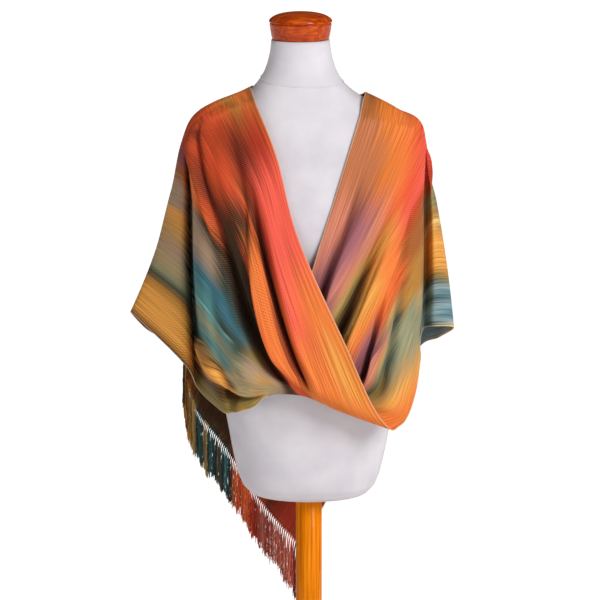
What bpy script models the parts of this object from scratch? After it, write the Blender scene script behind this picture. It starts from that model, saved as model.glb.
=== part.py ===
"""Asymmetric poncho, worn on a limbless dress form with a wooden cap, pole and round foot.

The poncho is one hand-woven strip. It starts at a seam behind the left shoulder (as seen from the front),
comes over that shoulder, turns over itself at the front with a half twist, goes up over the right shoulder
and hangs down across the back to its fringed end. +Z is up, -Y is the front, +X is the viewer's right.
The origin is the middle of the foot's underside.
"""
import math
import random

import bmesh
import bpy
import numpy as np
from mathutils import Vector

CM = 0.01
JOIN = 0.0003                       # gap between pieces that touch

CLOTH_THICKNESS = 0.002
CLOTH_ROWS_PER_SECTION = 3          # mesh rows between two sections of the drape
CLOTH_COLUMNS = 30                  # mesh columns across the strip

FRINGE_STRANDS = 64
FRINGE_LENGTH = 9.0 * CM
FRINGE_HEADING = 0.6 * CM           # the narrow strip that holds the strands' roots
STRAND_WIDTH = 0.0020
STRAND_TIP = 0.0012

BODY_SIDES = 36
BODY_SQUARENESS = 2.2               # 2 is an ellipse, more is squarer
NECK_TOP = 137.0 * CM
NECK_X = -1.4 * CM                  # the form leans a little to the viewer's left
CAP_STEPS = 40
BODY_BOTTOM = 59.6 * CM

# Neck cap, turned: (radius, height above its underside), in cm, from the top of the lid down
CAP_PROFILE = [
    (0.0, 4.55), (2.2, 4.42), (3.9, 4.05), (4.75, 3.62), (5.18, 3.2), (5.22, 2.98), (5.12, 2.86),
    (5.0, 2.74), (5.06, 2.6), (5.02, 2.2), (4.92, 1.4), (4.78, 0.5), (4.6, 0.0), (0.0, 0.0),
]

POLE_RADIUS = 2.2 * CM
FOOT_RADIUS = 18.0 * CM
FOOT_THICKNESS = 3.0 * CM
FOOT_EDGE = 0.6 * CM

# Dress form, level by level, in cm: (height, middle x, half width, front y, back y)
BODY_LEVELS = [
    (59.6, 0.0, 6.0, -3.4, 3.6),
    (60.2, 0.0, 8.6, -5.4, 5.8),
    (61.5, 0.0, 10.6, -6.9, 7.5),
    (63.2, 0.0, 11.6, -7.8, 8.6),
    (66.0, 0.0, 12.4, -8.5, 9.5),
    (71.7, 0.0, 13.5, -9.3, 10.3),
    (76.0, -0.1, 14.1, -9.6, 10.4),
    (81.0, -0.2, 14.0, -9.5, 9.9),
    (87.0, -0.3, 13.1, -8.9, 8.4),
    (92.0, -0.4, 12.8, -8.8, 7.4),
    (98.0, -0.5, 14.2, -9.9, 7.6),
    (104.0, -0.6, 15.8, -11.1, 8.7),
    (110.0, -0.6, 17.2, -10.8, 9.8),
    (115.0, -0.7, 17.8, -9.7, 10.2),
    (119.0, -0.7, 17.8, -8.5, 10.0),
    (121.5, -0.7, 17.2, -7.6, 9.6),
    (123.0, -0.8, 16.1, -7.2, 9.2),
    (125.0, -0.9, 13.7, -6.8, 8.5),
    (127.0, -1.1, 10.9, -6.3, 7.7),
    (128.6, -1.3, 8.6, -5.9, 7.0),
    (130.0, -1.4, 7.2, -5.6, 6.4),
    (131.5, -1.4, 6.2, -5.3, 5.9),
    (133.3, -1.4, 5.5, -5.1, 5.5),
    (137.0, -1.4, 4.85, -4.8, 5.2),
]

# The drape, section by section along the strip. Each section crosses the strip from the neck selvedge
# to the outer selvedge in five points, x, y, z in cm.
SECTIONS = {
    "left_seam": [(-3.3, 9.0, 126.8), (-7.8, 10.1, 116.8), (-12.1, 9.6, 106.3), (-16.3, 8.1, 95.2), (-20.5, 5.1, 84.5)],
    "left_back": [(-8.4, 5.6, 129.0), (-15.6, 6.9, 121.3), (-20.4, 6.0, 110.5), (-23.8, 4.4, 99.0), (-27.1, 2.5, 88.0)],
    "left_ridge": [(-9.8, -0.5, 129.1), (-19.6, 0.5, 122.3), (-22.9, 0.5, 112.0), (-25.8, 0.5, 101.2),
                   (-29.7, 0.0, 91.0)],
    "left_wing": [(-9.6, -2.8, 129.0), (-19.4, -1.5, 121.6), (-20.6, -2.5, 111.3), (-20.7, -3.5, 98.4),
                  (-20.2, -4.5, 83.2)],
    "left_valley": [(-9.2, -4.0, 128.6), (-19.1, -2.0, 121.1), (-19.6, 0.5, 109.4), (-19.5, 1.0, 94.9),
                    (-18.4, -1.5, 80.0)],
    "left_panel_edge": [(-8.7, -5.5, 127.6), (-18.4, -3.8, 120.4), (-18.7, -6.5, 109.3), (-18.2, -8.5, 94.7),
                        (-14.0, -9.5, 77.1)],
    "left_panel": [(-5.4, -9.5, 119.2), (-13.7, -10.2, 112.0), (-15.1, -11.0, 103.1), (-14.9, -11.5, 89.9),
                   (-13.0, -10.5, 77.3)],
    "left_bust": [(-1.7, -12.6, 105.7), (-7.5, -13.5, 100.2), (-10.4, -13.5, 93.6), (-11.6, -13.4, 85.0),
                  (-12.1, -12.0, 77.8)],
    "left_waist": [(5.3, -15.0, 90.1), (-1.5, -14.8, 88.9), (-5.4, -14.4, 87.2), (-9.0, -14.1, 82.8),
                   (-10.3, -12.6, 77.9)],
    "turn_front": [(12.8, -14.5, 75.9), (4.5, -15.0, 78.7), (-0.5, -14.6, 80.9), (-5.0, -14.0, 81.3),
                   (-7.6, -13.0, 78.9)],
    "turn_edge": [(13.4, -13.4, 74.9), (4.9, -13.6, 77.7), (-0.4, -13.3, 80.0), (-4.8, -12.9, 80.4),
                  (-7.3, -12.2, 78.4)],
    "turn_back": [(13.6, -12.4, 75.3), (5.0, -12.1, 78.4), (-0.3, -11.9, 80.8), (-4.5, -11.7, 81.3),
                  (-7.0, -11.4, 79.2)],
    "right_hip": [(15.7, -11.5, 76.0), (10.3, -12.0, 79.5), (5.0, -11.7, 82.4), (-1.5, -11.3, 84.5),
                  (-6.1, -11.0, 84.6)],
    "right_waist": [(17.4, -9.0, 79.3), (12.9, -12.5, 85.1), (8.6, -12.8, 88.5), (2.6, -12.3, 91.7),
                    (-1.8, -11.9, 91.6)],
    "right_bust": [(18.3, -7.0, 84.4), (15.6, -11.0, 92.0), (12.1, -12.8, 97.6), (7.6, -13.2, 101.0),
                   (0.6, -12.5, 100.9)],
    "right_panel": [(18.4, -6.0, 85.7), (17.3, -9.0, 95.7), (15.6, -10.5, 103.8), (13.1, -11.3, 111.3),
                    (4.5, -11.3, 113.3)],
    "right_panel_edge": [(18.3, -4.8, 86.8), (18.4, -7.0, 97.7), (18.5, -6.2, 108.8), (18.0, -3.2, 120.7),
                         (7.8, -7.5, 123.8)],
    "right_valley": [(19.4, -1.9, 87.6), (19.5, 0.8, 98.3), (19.2, 0.0, 109.4), (18.4, -1.7, 121.3),
                     (8.4, -6.1, 125.9)],
    "right_wing": [(20.8, -3.3, 89.2), (20.6, -3.0, 100.5), (20.2, -2.2, 111.2), (18.7, -0.7, 121.6),
                   (8.8, -4.2, 127.3)],
    "right_ridge": [(23.7, -0.5, 89.2), (22.5, 0.0, 100.1), (20.9, 0.5, 111.0), (18.5, 0.8, 121.9),
                    (9.2, -0.5, 128.0)],
    "right_back": [(22.0, 5.0, 86.2), (21.6, 6.0, 97.6), (19.4, 6.5, 109.5), (15.2, 6.8, 121.3), (6.6, 6.2, 128.9)],
    "nape": [(19.2, 8.5, 84.2), (18.0, 10.0, 96.0), (13.8, 11.0, 107.6), (6.5, 11.2, 118.0), (-4.2, 9.5, 127.4)],
    "back_high": [(14.3, 11.5, 75.8), (12.4, 12.6, 88.0), (7.8, 12.8, 99.0), (0.5, 12.5, 109.0),
                  (-8.9, 10.5, 117.3)],
    "back_middle": [(9.2, 13.2, 66.5), (6.2, 14.2, 78.0), (1.0, 14.2, 88.8), (-6.0, 13.0, 98.5),
                    (-13.3, 10.2, 106.8)],
    "back_low": [(4.0, 13.4, 57.2), (-1.2, 14.5, 67.3), (-6.8, 14.2, 77.2), (-12.6, 12.2, 86.8), (-17.6, 8.5, 95.8)],
    "fringed_end": [(-1.2, 12.0, 47.9), (-8.0, 13.2, 55.4), (-14.3, 12.2, 66.0), (-19.0, 9.4, 74.5),
                    (-21.9, 5.1, 85.0)],
}

# Folds laid over the drape. Places are (cm along the strip, share of its width); the half width is a share
# of the strip's width, the height is in cm and stands out of the drape (a trough's height is negative).
FOLDS = {
    "shoulder_cone": dict(start=(24, 0.26), middle=(31, 0.30), end=(39, 0.42), half_width=0.07, height=0.6),
    "dark_trough": dict(start=(26, 0.22), middle=(44, 0.44), end=(61, 0.60), half_width=0.11, height=-1.5),
    "orange_ridge": dict(start=(39, 0.18), middle=(50, 0.40), end=(63, 0.53), half_width=0.08, height=0.8),
    "band_trough": dict(start=(40, 0.14), middle=(50, 0.30), end=(62, 0.45), half_width=0.07, height=-1.0),
    "band_ridge": dict(start=(43, 0.12), middle=(53, 0.25), end=(63, 0.34), half_width=0.10, height=0.5),
    "hem_roll": dict(start=(38, 0.90), middle=(47, 0.88), end=(57, 0.84), half_width=0.10, height=0.4),
    "mauve_trough": dict(start=(84, 0.96), middle=(90, 0.96), end=(97, 0.97), half_width=0.06, height=-0.5),
    "mauve_ridge": dict(start=(76, 0.84), middle=(86, 0.87), end=(95, 0.91), half_width=0.06, height=0.5),
    "olive_trough": dict(start=(70, 0.66), middle=(81, 0.66), end=(94, 0.76), half_width=0.08, height=-1.2),
    "gold_ridge": dict(start=(70, 0.58), middle=(82, 0.57), end=(97, 0.64), half_width=0.07, height=1.0),
    "plum_trough": dict(start=(68, 0.42), middle=(79, 0.47), end=(92, 0.51), half_width=0.07, height=-1.1),
    "green_ridge": dict(start=(68, 0.33), middle=(77, 0.39), end=(95, 0.42), half_width=0.08, height=0.8),
    "hip_trough": dict(start=(66, 0.22), middle=(76, 0.26), end=(94, 0.22), half_width=0.08, height=-0.6),
    "back_trough": dict(start=(128, 0.62), middle=(150, 0.55), end=(177, 0.58), half_width=0.12, height=-0.8),
    "back_ridge": dict(start=(124, 0.36), middle=(148, 0.32), end=(177, 0.38), half_width=0.12, height=0.9),
    "tail_trough": dict(start=(130, 0.12), middle=(152, 0.12), end=(177, 0.18), half_width=0.10, height=-0.9),
}
FOLD_FADE = 6.0                     # cm over which a fold grows at its start and dies at its end
OUTSIDE_CHANGES = 63.0              # cm along the strip where the half twist turns its other face outwards


def clear_scene():
    for thing in list(bpy.data.objects):
        bpy.data.objects.remove(thing, do_unlink=True)


def new_collection(name):
    group = bpy.data.collections.new(name)
    bpy.context.scene.collection.children.link(group)
    return group


def plain_material(name, colour, roughness, metallic=0.0):
    """A Principled surface of one colour, given as linear red, green, blue."""
    material = bpy.data.materials.new(name)
    material.use_nodes = True
    shader = material.node_tree.nodes["Principled BSDF"]
    shader.inputs["Base Color"].default_value = (*colour, 1.0)
    shader.inputs["Roughness"].default_value = roughness
    shader.inputs["Metallic"].default_value = metallic
    return material


def add_object(name, mesh, material, group):
    thing = bpy.data.objects.new(name, mesh)
    mesh.materials.append(material)
    group.objects.link(thing)
    return thing


def mesh_from_bmesh(name, bm):
    bmesh.ops.recalc_face_normals(bm, faces=bm.faces)
    mesh = bpy.data.meshes.new(name)
    bm.to_mesh(mesh)
    bm.free()
    return mesh


def smooth_curve(knots, values, places):
    """Read at places a smooth curve that passes through values at knots."""
    knots = np.asarray(knots, float)
    values = np.asarray(values, float)
    steps = np.diff(knots)
    slopes = np.diff(values, axis=0) / steps[:, None]
    share = (steps[:-1] / (steps[:-1] + steps[1:]))[:, None]
    tangents = np.empty_like(values)
    tangents[1:-1] = slopes[:-1] * (1 - share) + slopes[1:] * share
    tangents[0] = 1.5 * slopes[0] - 0.5 * tangents[1]
    tangents[-1] = 1.5 * slopes[-1] - 0.5 * tangents[-2]
    piece = np.clip(np.searchsorted(knots, places, side="right") - 1, 0, len(steps) - 1)
    t = ((places - knots[piece]) / steps[piece])[:, None]
    step = steps[piece][:, None]
    return ((2 * t**3 - 3 * t**2 + 1) * values[piece]
            + (t**3 - 2 * t**2 + t) * step * tangents[piece]
            + (3 * t**2 - 2 * t**3) * values[piece + 1]
            + (t**3 - t**2) * step * tangents[piece + 1])


def smoothstep(t):
    t = np.clip(t, 0.0, 1.0)
    return t * t * (3.0 - 2.0 * t)


def drape_points(rows_per_section, columns):
    """The strip's middle surface in cm as rows x columns x 3, with each row's place along the strip."""
    across = np.linspace(0.0, 1.0, columns)
    points_across = np.linspace(0.0, 1.0, 5)
    sections = np.array([smooth_curve(points_across, section, across) for section in SECTIONS.values()])
    chords = np.linalg.norm(np.diff(sections, axis=0), axis=2).mean(axis=1)
    stations = np.concatenate([[0.0], np.cumsum(chords)])
    row_numbers = np.arange((len(stations) - 1) * rows_per_section + 1) / rows_per_section
    along = np.interp(row_numbers, np.arange(len(stations)), stations)
    lines = [smooth_curve(stations, sections[:, column], along) for column in range(columns)]
    return np.array(lines).transpose(1, 0, 2), along, across


def surface_normals(points):
    """Unit normals of a grid of points, outwards on the worn poncho on both sides of the half twist."""
    down_strip = np.gradient(points, axis=0)
    across_strip = np.gradient(points, axis=1)
    normals = np.cross(down_strip, across_strip)
    return normals / np.linalg.norm(normals, axis=2, keepdims=True)


def fold_relief(along, across):
    """How far, in cm, the folds stand out of the drape at each place."""
    place, share = np.meshgrid(along, across, indexing="ij")
    relief = np.zeros_like(place)
    for fold in FOLDS.values():
        route = np.array([fold["start"], fold["middle"], fold["end"]], float)
        middle = smooth_curve(route[:, 0], route[:, 1:], np.clip(along, route[0, 0], route[-1, 0]))
        reach = np.abs(share - middle) / fold["half_width"]
        profile = np.cos(np.clip(reach, 0.0, 1.0) * math.pi / 2) ** 2
        length = smoothstep((place - route[0, 0]) / FOLD_FADE) * smoothstep((route[-1, 0] - place) / FOLD_FADE)
        relief += fold["height"] * profile * length
    return relief


def worn_strip(rows_per_section, columns):
    points, along, across = drape_points(rows_per_section, columns)
    side = np.where(along < OUTSIDE_CHANGES, -1.0, 1.0)[:, None, None]
    outwards = surface_normals(points) * side
    return (points + outwards * fold_relief(along, across)[:, :, None]) * CM


def grid_mesh(name, points):
    """An open sheet of quads through a grid of points."""
    rows, columns, _ = points.shape
    bm = bmesh.new()
    verts = [[bm.verts.new(points[i, j]) for j in range(columns)] for i in range(rows)]
    for i in range(rows - 1):
        for j in range(columns - 1):
            bm.faces.new((verts[i][j], verts[i + 1][j], verts[i + 1][j + 1], verts[i][j + 1]))
    mesh = bpy.data.meshes.new(name)
    bm.to_mesh(mesh)
    bm.free()
    return mesh


def make_cloth(group):
    points = worn_strip(CLOTH_ROWS_PER_SECTION, CLOTH_COLUMNS)
    weave = plain_material("hand_woven_rayon", (0.75, 0.20, 0.05), 0.7)
    cloth = add_object("poncho_cloth", grid_mesh("poncho_cloth", points), weave, group)
    wall = cloth.modifiers.new("wall", "SOLIDIFY")
    wall.thickness = CLOTH_THICKNESS
    wall.offset = 0.0
    cloth.data.shade_smooth()
    return points


def strand_path(root, leave, length, sway):
    """Points down a strand: it leaves the cloth along leave and soon hangs straight down."""
    steps = 4
    down = Vector((0, 0, -1))
    points = [root]
    for step in range(1, steps + 1):
        hang = min(1.0, 0.45 + 0.35 * step)
        heading = (leave.lerp(down, hang) + sway * (step / steps)).normalized()
        points.append(points[-1] + heading * (length / steps))
    return points


def make_fringe(cloth_points, group):
    """A narrow heading beyond the strip's end, with a strand drawn out of every other cell of it."""
    rng = random.Random(7)
    end = cloth_points[-1]
    before = cloth_points[-2]
    leave_all = end - before
    leave_all /= np.linalg.norm(leave_all, axis=1, keepdims=True)
    lengths = np.concatenate([[0.0], np.cumsum(np.linalg.norm(np.diff(end, axis=0), axis=1))])
    pitch = lengths[-1] / FRINGE_STRANDS
    margin = (pitch - STRAND_WIDTH) / 2
    places = [0.0]
    for number in range(FRINGE_STRANDS):
        places += [number * pitch + margin, number * pitch + margin + STRAND_WIDTH]
    places.append(lengths[-1])
    places = np.array(places)
    roots = smooth_curve(lengths, end, places)
    leaves = smooth_curve(lengths, leave_all, places)
    leaves /= np.linalg.norm(leaves, axis=1, keepdims=True)
    edge_direction = np.gradient(roots, places, axis=0)
    faces_out = np.cross(leaves, edge_direction)
    faces_out /= np.linalg.norm(faces_out, axis=1, keepdims=True)
    half = faces_out * CLOTH_THICKNESS / 2
    near = roots + leaves * JOIN
    far = roots + leaves * (JOIN + FRINGE_HEADING)

    bm = bmesh.new()
    rings = []
    for i in range(len(places)):
        corners = (near[i] + half[i], far[i] + half[i], far[i] - half[i], near[i] - half[i])
        rings.append([bm.verts.new(corner) for corner in corners])
    for i in range(len(rings) - 1):
        a, b = rings[i], rings[i + 1]
        holds_strand = i % 2 == 1
        for side in range(4):
            after = (side + 1) % 4
            if side == 1 and holds_strand:
                draw_strand(bm, (a[1], b[1], b[2], a[2]), Vector(leaves[i]), i // 2, rng)
            else:
                bm.faces.new((a[side], a[after], b[after], b[side]))
    bm.faces.new(rings[0])
    bm.faces.new(rings[-1])
    yarn = plain_material("fringe_yarn", (0.45, 0.12, 0.05), 0.75)
    add_object("poncho_fringe", mesh_from_bmesh("poncho_fringe", bm), yarn, group)


def draw_strand(bm, foot, leave, number, rng):
    """Continue the heading's lower face foot into a four-sided strand that ends in a narrow tip."""
    centre = sum((vert.co for vert in foot), Vector()) / 4
    spokes = [vert.co - centre for vert in foot]
    sway = Vector((0.05 * math.sin(number / 5.0) - 0.02, 0.04 * math.cos(number / 7.0), 0))
    length = FRINGE_LENGTH * rng.uniform(0.88, 1.08)
    path = strand_path(centre, leave, length, sway)
    ring = list(foot)
    for number, point in enumerate(path[1:], start=1):
        width = 1 + (STRAND_TIP / STRAND_WIDTH - 1) * number / (len(path) - 1)
        following = [bm.verts.new(point + spoke * width) for spoke in spokes]
        for side in range(4):
            after = (side + 1) % 4
            bm.faces.new((ring[side], ring[after], following[after], following[side]))
        ring = following
    bm.faces.new(ring)


def make_body(group):
    """The limbless torso, a loft of soft rectangles from its rounded bottom to its neck."""
    bm = bmesh.new()
    rings = []
    for height, middle, half_width, front, back in BODY_LEVELS:
        ring = []
        for side in range(BODY_SIDES):
            angle = 2 * math.pi * side / BODY_SIDES
            reach_x = abs(math.cos(angle)) ** (2 / BODY_SQUARENESS)
            reach_y = abs(math.sin(angle)) ** (2 / BODY_SQUARENESS)
            x = middle + math.copysign(half_width * reach_x, math.cos(angle))
            y = reach_y * (back if math.sin(angle) > 0 else front)
            ring.append(bm.verts.new(Vector((x, y, height)) * CM))
        rings.append(ring)
    for lower, upper in zip(rings, rings[1:]):
        for side in range(BODY_SIDES):
            after = (side + 1) % BODY_SIDES
            bm.faces.new((lower[side], lower[after], upper[after], upper[side]))
    bm.faces.new(rings[0])
    bm.faces.new(rings[-1])
    jersey = plain_material("white_jersey", (0.82, 0.82, 0.84), 0.85)
    body = add_object("form_torso", mesh_from_bmesh("form_torso", bm), jersey, group)
    body.data.shade_smooth()


def make_cap(wood, group):
    """Turned neck cap: a cup that widens upwards, a groove, and a low domed lid in one piece."""
    mesh = bpy.data.meshes.new("neck_cap")
    verts = [(radius * CM, 0.0, height * CM) for radius, height in CAP_PROFILE]
    mesh.from_pydata(verts, [(i, i + 1) for i in range(len(verts) - 1)], [])
    cap = add_object("neck_cap", mesh, wood, group)
    cap.location = (NECK_X, 0.0, NECK_TOP + JOIN)
    turn = cap.modifiers.new("turned", "SCREW")
    turn.steps = CAP_STEPS
    turn.render_steps = CAP_STEPS
    turn.use_merge_vertices = True
    turn.merge_threshold = 0.0001
    turn.use_smooth_shade = True


def make_pole(wood, group):
    length = BODY_BOTTOM - JOIN - (FOOT_THICKNESS + JOIN)
    bpy.ops.mesh.primitive_cylinder_add(vertices=32, radius=POLE_RADIUS, depth=length)
    pole = take_primitive("stand_pole", wood, group)
    pole.location = (0.0, 0.0, FOOT_THICKNESS + JOIN + length / 2)


def make_foot(wood, group):
    bpy.ops.mesh.primitive_cylinder_add(vertices=48, radius=FOOT_RADIUS, depth=FOOT_THICKNESS)
    foot = take_primitive("stand_foot", wood, group)
    foot.location = (0.0, 0.0, FOOT_THICKNESS / 2)
    edge = foot.modifiers.new("rounded_edge", "BEVEL")
    edge.width = FOOT_EDGE
    edge.segments = 2
    edge.limit_method = "ANGLE"


def take_primitive(name, material, group):
    """Name the primitive that was just added and move it into the object's collection."""
    thing = bpy.context.object
    thing.name = name
    thing.data.name = name
    thing.data.materials.append(material)
    for owner in list(thing.users_collection):
        owner.objects.unlink(thing)
    group.objects.link(thing)
    thing.data.shade_smooth()
    thing.data.set_sharp_from_angle(angle=math.radians(35))
    return thing


def main():
    clear_scene()
    group = new_collection("asymmetric_poncho_on_form")
    cloth_points = make_cloth(group)
    make_fringe(cloth_points, group)
    make_body(group)
    make_cap(plain_material("varnished_cap_wood", (0.45, 0.10, 0.02), 0.25), group)
    pole_wood = plain_material("varnished_pine", (0.55, 0.24, 0.05), 0.4)
    make_pole(pole_wood, group)
    make_foot(pole_wood, group)


main()
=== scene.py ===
"""Asymmetric poncho on a limbless dress form, dressed in its finishes.

One hand-woven, hand-dyed strip is draped over both shoulders of a jersey-covered torso with a turned neck
cap, a wooden pole and a round foot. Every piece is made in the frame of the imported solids: metres, +Z up,
-Y front.
"""
import math

import bpy
import numpy as np
from mathutils import Matrix, Vector


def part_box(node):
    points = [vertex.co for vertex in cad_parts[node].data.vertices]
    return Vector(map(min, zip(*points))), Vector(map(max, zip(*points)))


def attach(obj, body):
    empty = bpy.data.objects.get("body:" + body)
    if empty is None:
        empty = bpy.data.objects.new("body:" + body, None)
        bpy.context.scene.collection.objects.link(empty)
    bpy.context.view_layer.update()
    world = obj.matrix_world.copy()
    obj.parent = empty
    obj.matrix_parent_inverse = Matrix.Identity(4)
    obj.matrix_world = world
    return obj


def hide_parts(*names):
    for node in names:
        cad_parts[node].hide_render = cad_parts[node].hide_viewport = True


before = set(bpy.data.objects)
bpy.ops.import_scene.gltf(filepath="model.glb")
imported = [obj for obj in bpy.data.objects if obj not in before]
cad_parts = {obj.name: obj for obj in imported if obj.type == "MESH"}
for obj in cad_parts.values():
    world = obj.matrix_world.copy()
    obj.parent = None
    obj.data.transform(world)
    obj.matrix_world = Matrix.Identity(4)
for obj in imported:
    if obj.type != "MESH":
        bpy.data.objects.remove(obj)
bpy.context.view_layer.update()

# Dress form torso: a padded shell without limbs, covered in white cotton jersey that is pulled smooth and
# stapled under the neck cap. A tape seam runs round the base of the neck. It stands on the pole.
CM = 0.01
MM = 0.001
BODY = "root"
# Levels in cm: (height, middle x, half width, front y, back y)
FORM_LEVELS = [
    (59.6, 0.0, 6.0, -3.4, 3.6),
    (60.2, 0.0, 8.6, -5.4, 5.8),
    (61.5, 0.0, 10.6, -6.9, 7.5),
    (63.2, 0.0, 11.6, -7.8, 8.6),
    (66.0, 0.0, 12.4, -8.5, 9.5),
    (71.7, 0.0, 13.5, -9.3, 10.3),
    (76.0, -0.1, 14.1, -9.6, 10.4),
    (81.0, -0.2, 14.0, -9.5, 9.9),
    (87.0, -0.3, 13.1, -8.9, 8.4),
    (92.0, -0.4, 12.8, -8.8, 7.4),
    (98.0, -0.5, 14.2, -9.9, 7.6),
    (104.0, -0.6, 15.8, -11.1, 8.7),
    (110.0, -0.6, 17.2, -10.8, 9.8),
    (115.0, -0.7, 17.8, -9.7, 10.2),
    (119.0, -0.7, 17.8, -8.5, 10.0),
    (121.5, -0.7, 17.2, -7.6, 9.6),
    (123.0, -0.8, 16.1, -7.2, 9.2),
    (125.0, -0.9, 13.7, -6.8, 8.5),
    (127.0, -1.1, 10.9, -6.3, 7.7),
    (128.6, -1.3, 8.6, -5.9, 7.0),
    (130.0, -1.4, 7.2, -5.6, 6.4),
    (131.5, -1.4, 6.2, -5.3, 5.9),
    (133.3, -1.4, 5.5, -5.1, 5.5),
    (137.0, -1.4, 4.85, -4.8, 5.2),
]
FORM_SIDES = 144
FORM_RINGS_PER_LEVEL = 5
FORM_SQUARENESS = 2.2
FORM_INSET = 0.05                   # cm that the jersey lies inside the levels, clear of the cloth
SEAM_HEIGHT = 129.8                 # of the neck seam at the front, in cm
SEAM_RISE_TO_BACK = 1.4
SEAM_TILT = 0.05                    # cm that the seam drops for each cm to the viewer's right
SEAM_RADIUS = 0.9 * MM
SEAM_POINTS = 160
NECK_BASE_RADIUS = 8                # of the neck where the seam runs, in cm


def linear(hex_colour):
    """An sRGB hex colour as linear red, green, blue, alpha."""
    shares = [int(hex_colour[i:i + 2], 16) / 255 for i in (1, 3, 5)]
    return tuple(c / 12.92 if c <= 0.04045 else ((c + 0.055) / 1.055) ** 2.4 for c in shares) + (1.0,)


def add_node(tree, kind, inputs=(), **settings):
    """Add a node with its settings and inputs. A node or socket given as an input is linked, a value set."""
    node = tree.nodes.new(kind)
    for name, value in settings.items():
        setattr(node, name, value)
    for socket, given_input in (inputs if isinstance(inputs, dict) else dict(enumerate(inputs))).items():
        source = given_input.outputs[0] if isinstance(given_input, bpy.types.Node) else given_input
        if isinstance(source, bpy.types.NodeSocket):
            tree.links.new(source, node.inputs[socket])
        else:
            node.inputs[socket].default_value = source
    return node


def set_ramp(node, stops):
    """Give a colour ramp its stops, each a place and an sRGB hex colour, from the lowest place up."""
    elements = node.color_ramp.elements
    for element, (at, colour) in zip(elements, (stops[0], stops[-1])):
        element.position, element.color = at, linear(colour)
    for at, colour in stops[1:-1]:
        elements.new(at).color = linear(colour)


def new_material(name, **constants):
    """A material, its node tree and its Principled shader, with constants such as Roughness set."""
    material = bpy.data.materials.new(name)
    material.use_nodes = True
    shader = material.node_tree.nodes["Principled BSDF"]
    for socket, value in constants.items():
        shader.inputs[socket.replace("_", " ")].default_value = value
    return material, material.node_tree, shader


def add_piece(name, data, material=None):
    piece = bpy.data.objects.new(name, data)
    bpy.context.scene.collection.objects.link(piece)
    if material:
        data.materials.clear()
        data.materials.append(material)
    return piece


def plain_mesh(thing):
    """The object's shape with its modifiers, as a mesh of its own."""
    bpy.context.view_layer.update()
    return bpy.data.meshes.new_from_object(thing.evaluated_get(bpy.context.evaluated_depsgraph_get()))


def finish_piece(piece, slot, *nodes):
    """The piece rides with the object and stands for the named solids. Its slot is not used."""
    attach(piece, BODY)
    if nodes:
        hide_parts(*nodes)


def smooth_curve(knots, values, places):
    """Read at places a smooth curve that passes through values at knots."""
    knots = np.asarray(knots, float)
    values = np.asarray(values, float)
    steps = np.diff(knots)
    slopes = np.diff(values, axis=0) / steps[:, None]
    share = (steps[:-1] / (steps[:-1] + steps[1:]))[:, None]
    tangents = np.empty_like(values)
    tangents[1:-1] = slopes[:-1] * (1 - share) + slopes[1:] * share
    tangents[0] = 1.5 * slopes[0] - 0.5 * tangents[1]
    tangents[-1] = 1.5 * slopes[-1] - 0.5 * tangents[-2]
    span = np.clip(np.searchsorted(knots, places, side="right") - 1, 0, len(steps) - 1)
    t = ((places - knots[span]) / steps[span])[:, None]
    step = steps[span][:, None]
    return ((2 * t**3 - 3 * t**2 + 1) * values[span]
            + (t**3 - 2 * t**2 + t) * step * tangents[span]
            + (3 * t**2 - 2 * t**3) * values[span + 1]
            + (t**3 - t**2) * step * tangents[span + 1])


def form_points(angles, heights, outwards=0.0):
    """Points on the torso in cm, at matching angles and heights. Angle -90 degrees faces the front."""
    levels = np.array(FORM_LEVELS)
    middle, half_width, front, back = smooth_curve(levels[:, 0], levels[:, 1:], heights).T
    reach_x = np.abs(np.cos(angles)) ** (2 / FORM_SQUARENESS) * np.sign(np.cos(angles))
    reach_y = np.abs(np.sin(angles)) ** (2 / FORM_SQUARENESS)
    side = np.where(np.sin(angles) > 0, back + outwards, front - outwards)
    return np.stack([middle + (half_width + outwards) * reach_x, side * reach_y, heights], axis=1)


def grid_faces(rows, columns, wrap=False):
    """Quads between neighbouring rows and columns of a grid of points."""
    last = columns if wrap else columns - 1
    return [(i * columns + j, i * columns + (j + 1) % columns, (i + 1) * columns + (j + 1) % columns,
             (i + 1) * columns + j) for i in range(rows - 1) for j in range(last)]


level_heights = [level[0] for level in FORM_LEVELS]
ring_numbers = np.linspace(0, len(level_heights) - 1, (len(level_heights) - 1) * FORM_RINGS_PER_LEVEL + 1)
ring_heights = np.interp(ring_numbers, np.arange(len(level_heights)), level_heights)
ring_angles = np.linspace(0, 2 * math.pi, FORM_SIDES, endpoint=False)
form_rings = [form_points(ring_angles, np.full(FORM_SIDES, height), -FORM_INSET) for height in ring_heights]
form_mesh = bpy.data.meshes.new("torso_jersey")
ring_faces = grid_faces(len(form_rings), FORM_SIDES, wrap=True)
last_ring = (len(form_rings) - 1) * FORM_SIDES
lid_faces = [tuple(reversed(range(FORM_SIDES))), tuple(range(last_ring, last_ring + FORM_SIDES))]
form_mesh.from_pydata((np.concatenate(form_rings) * CM).tolist(), [], ring_faces + lid_faces)
form_mesh.shade_smooth()

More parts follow.
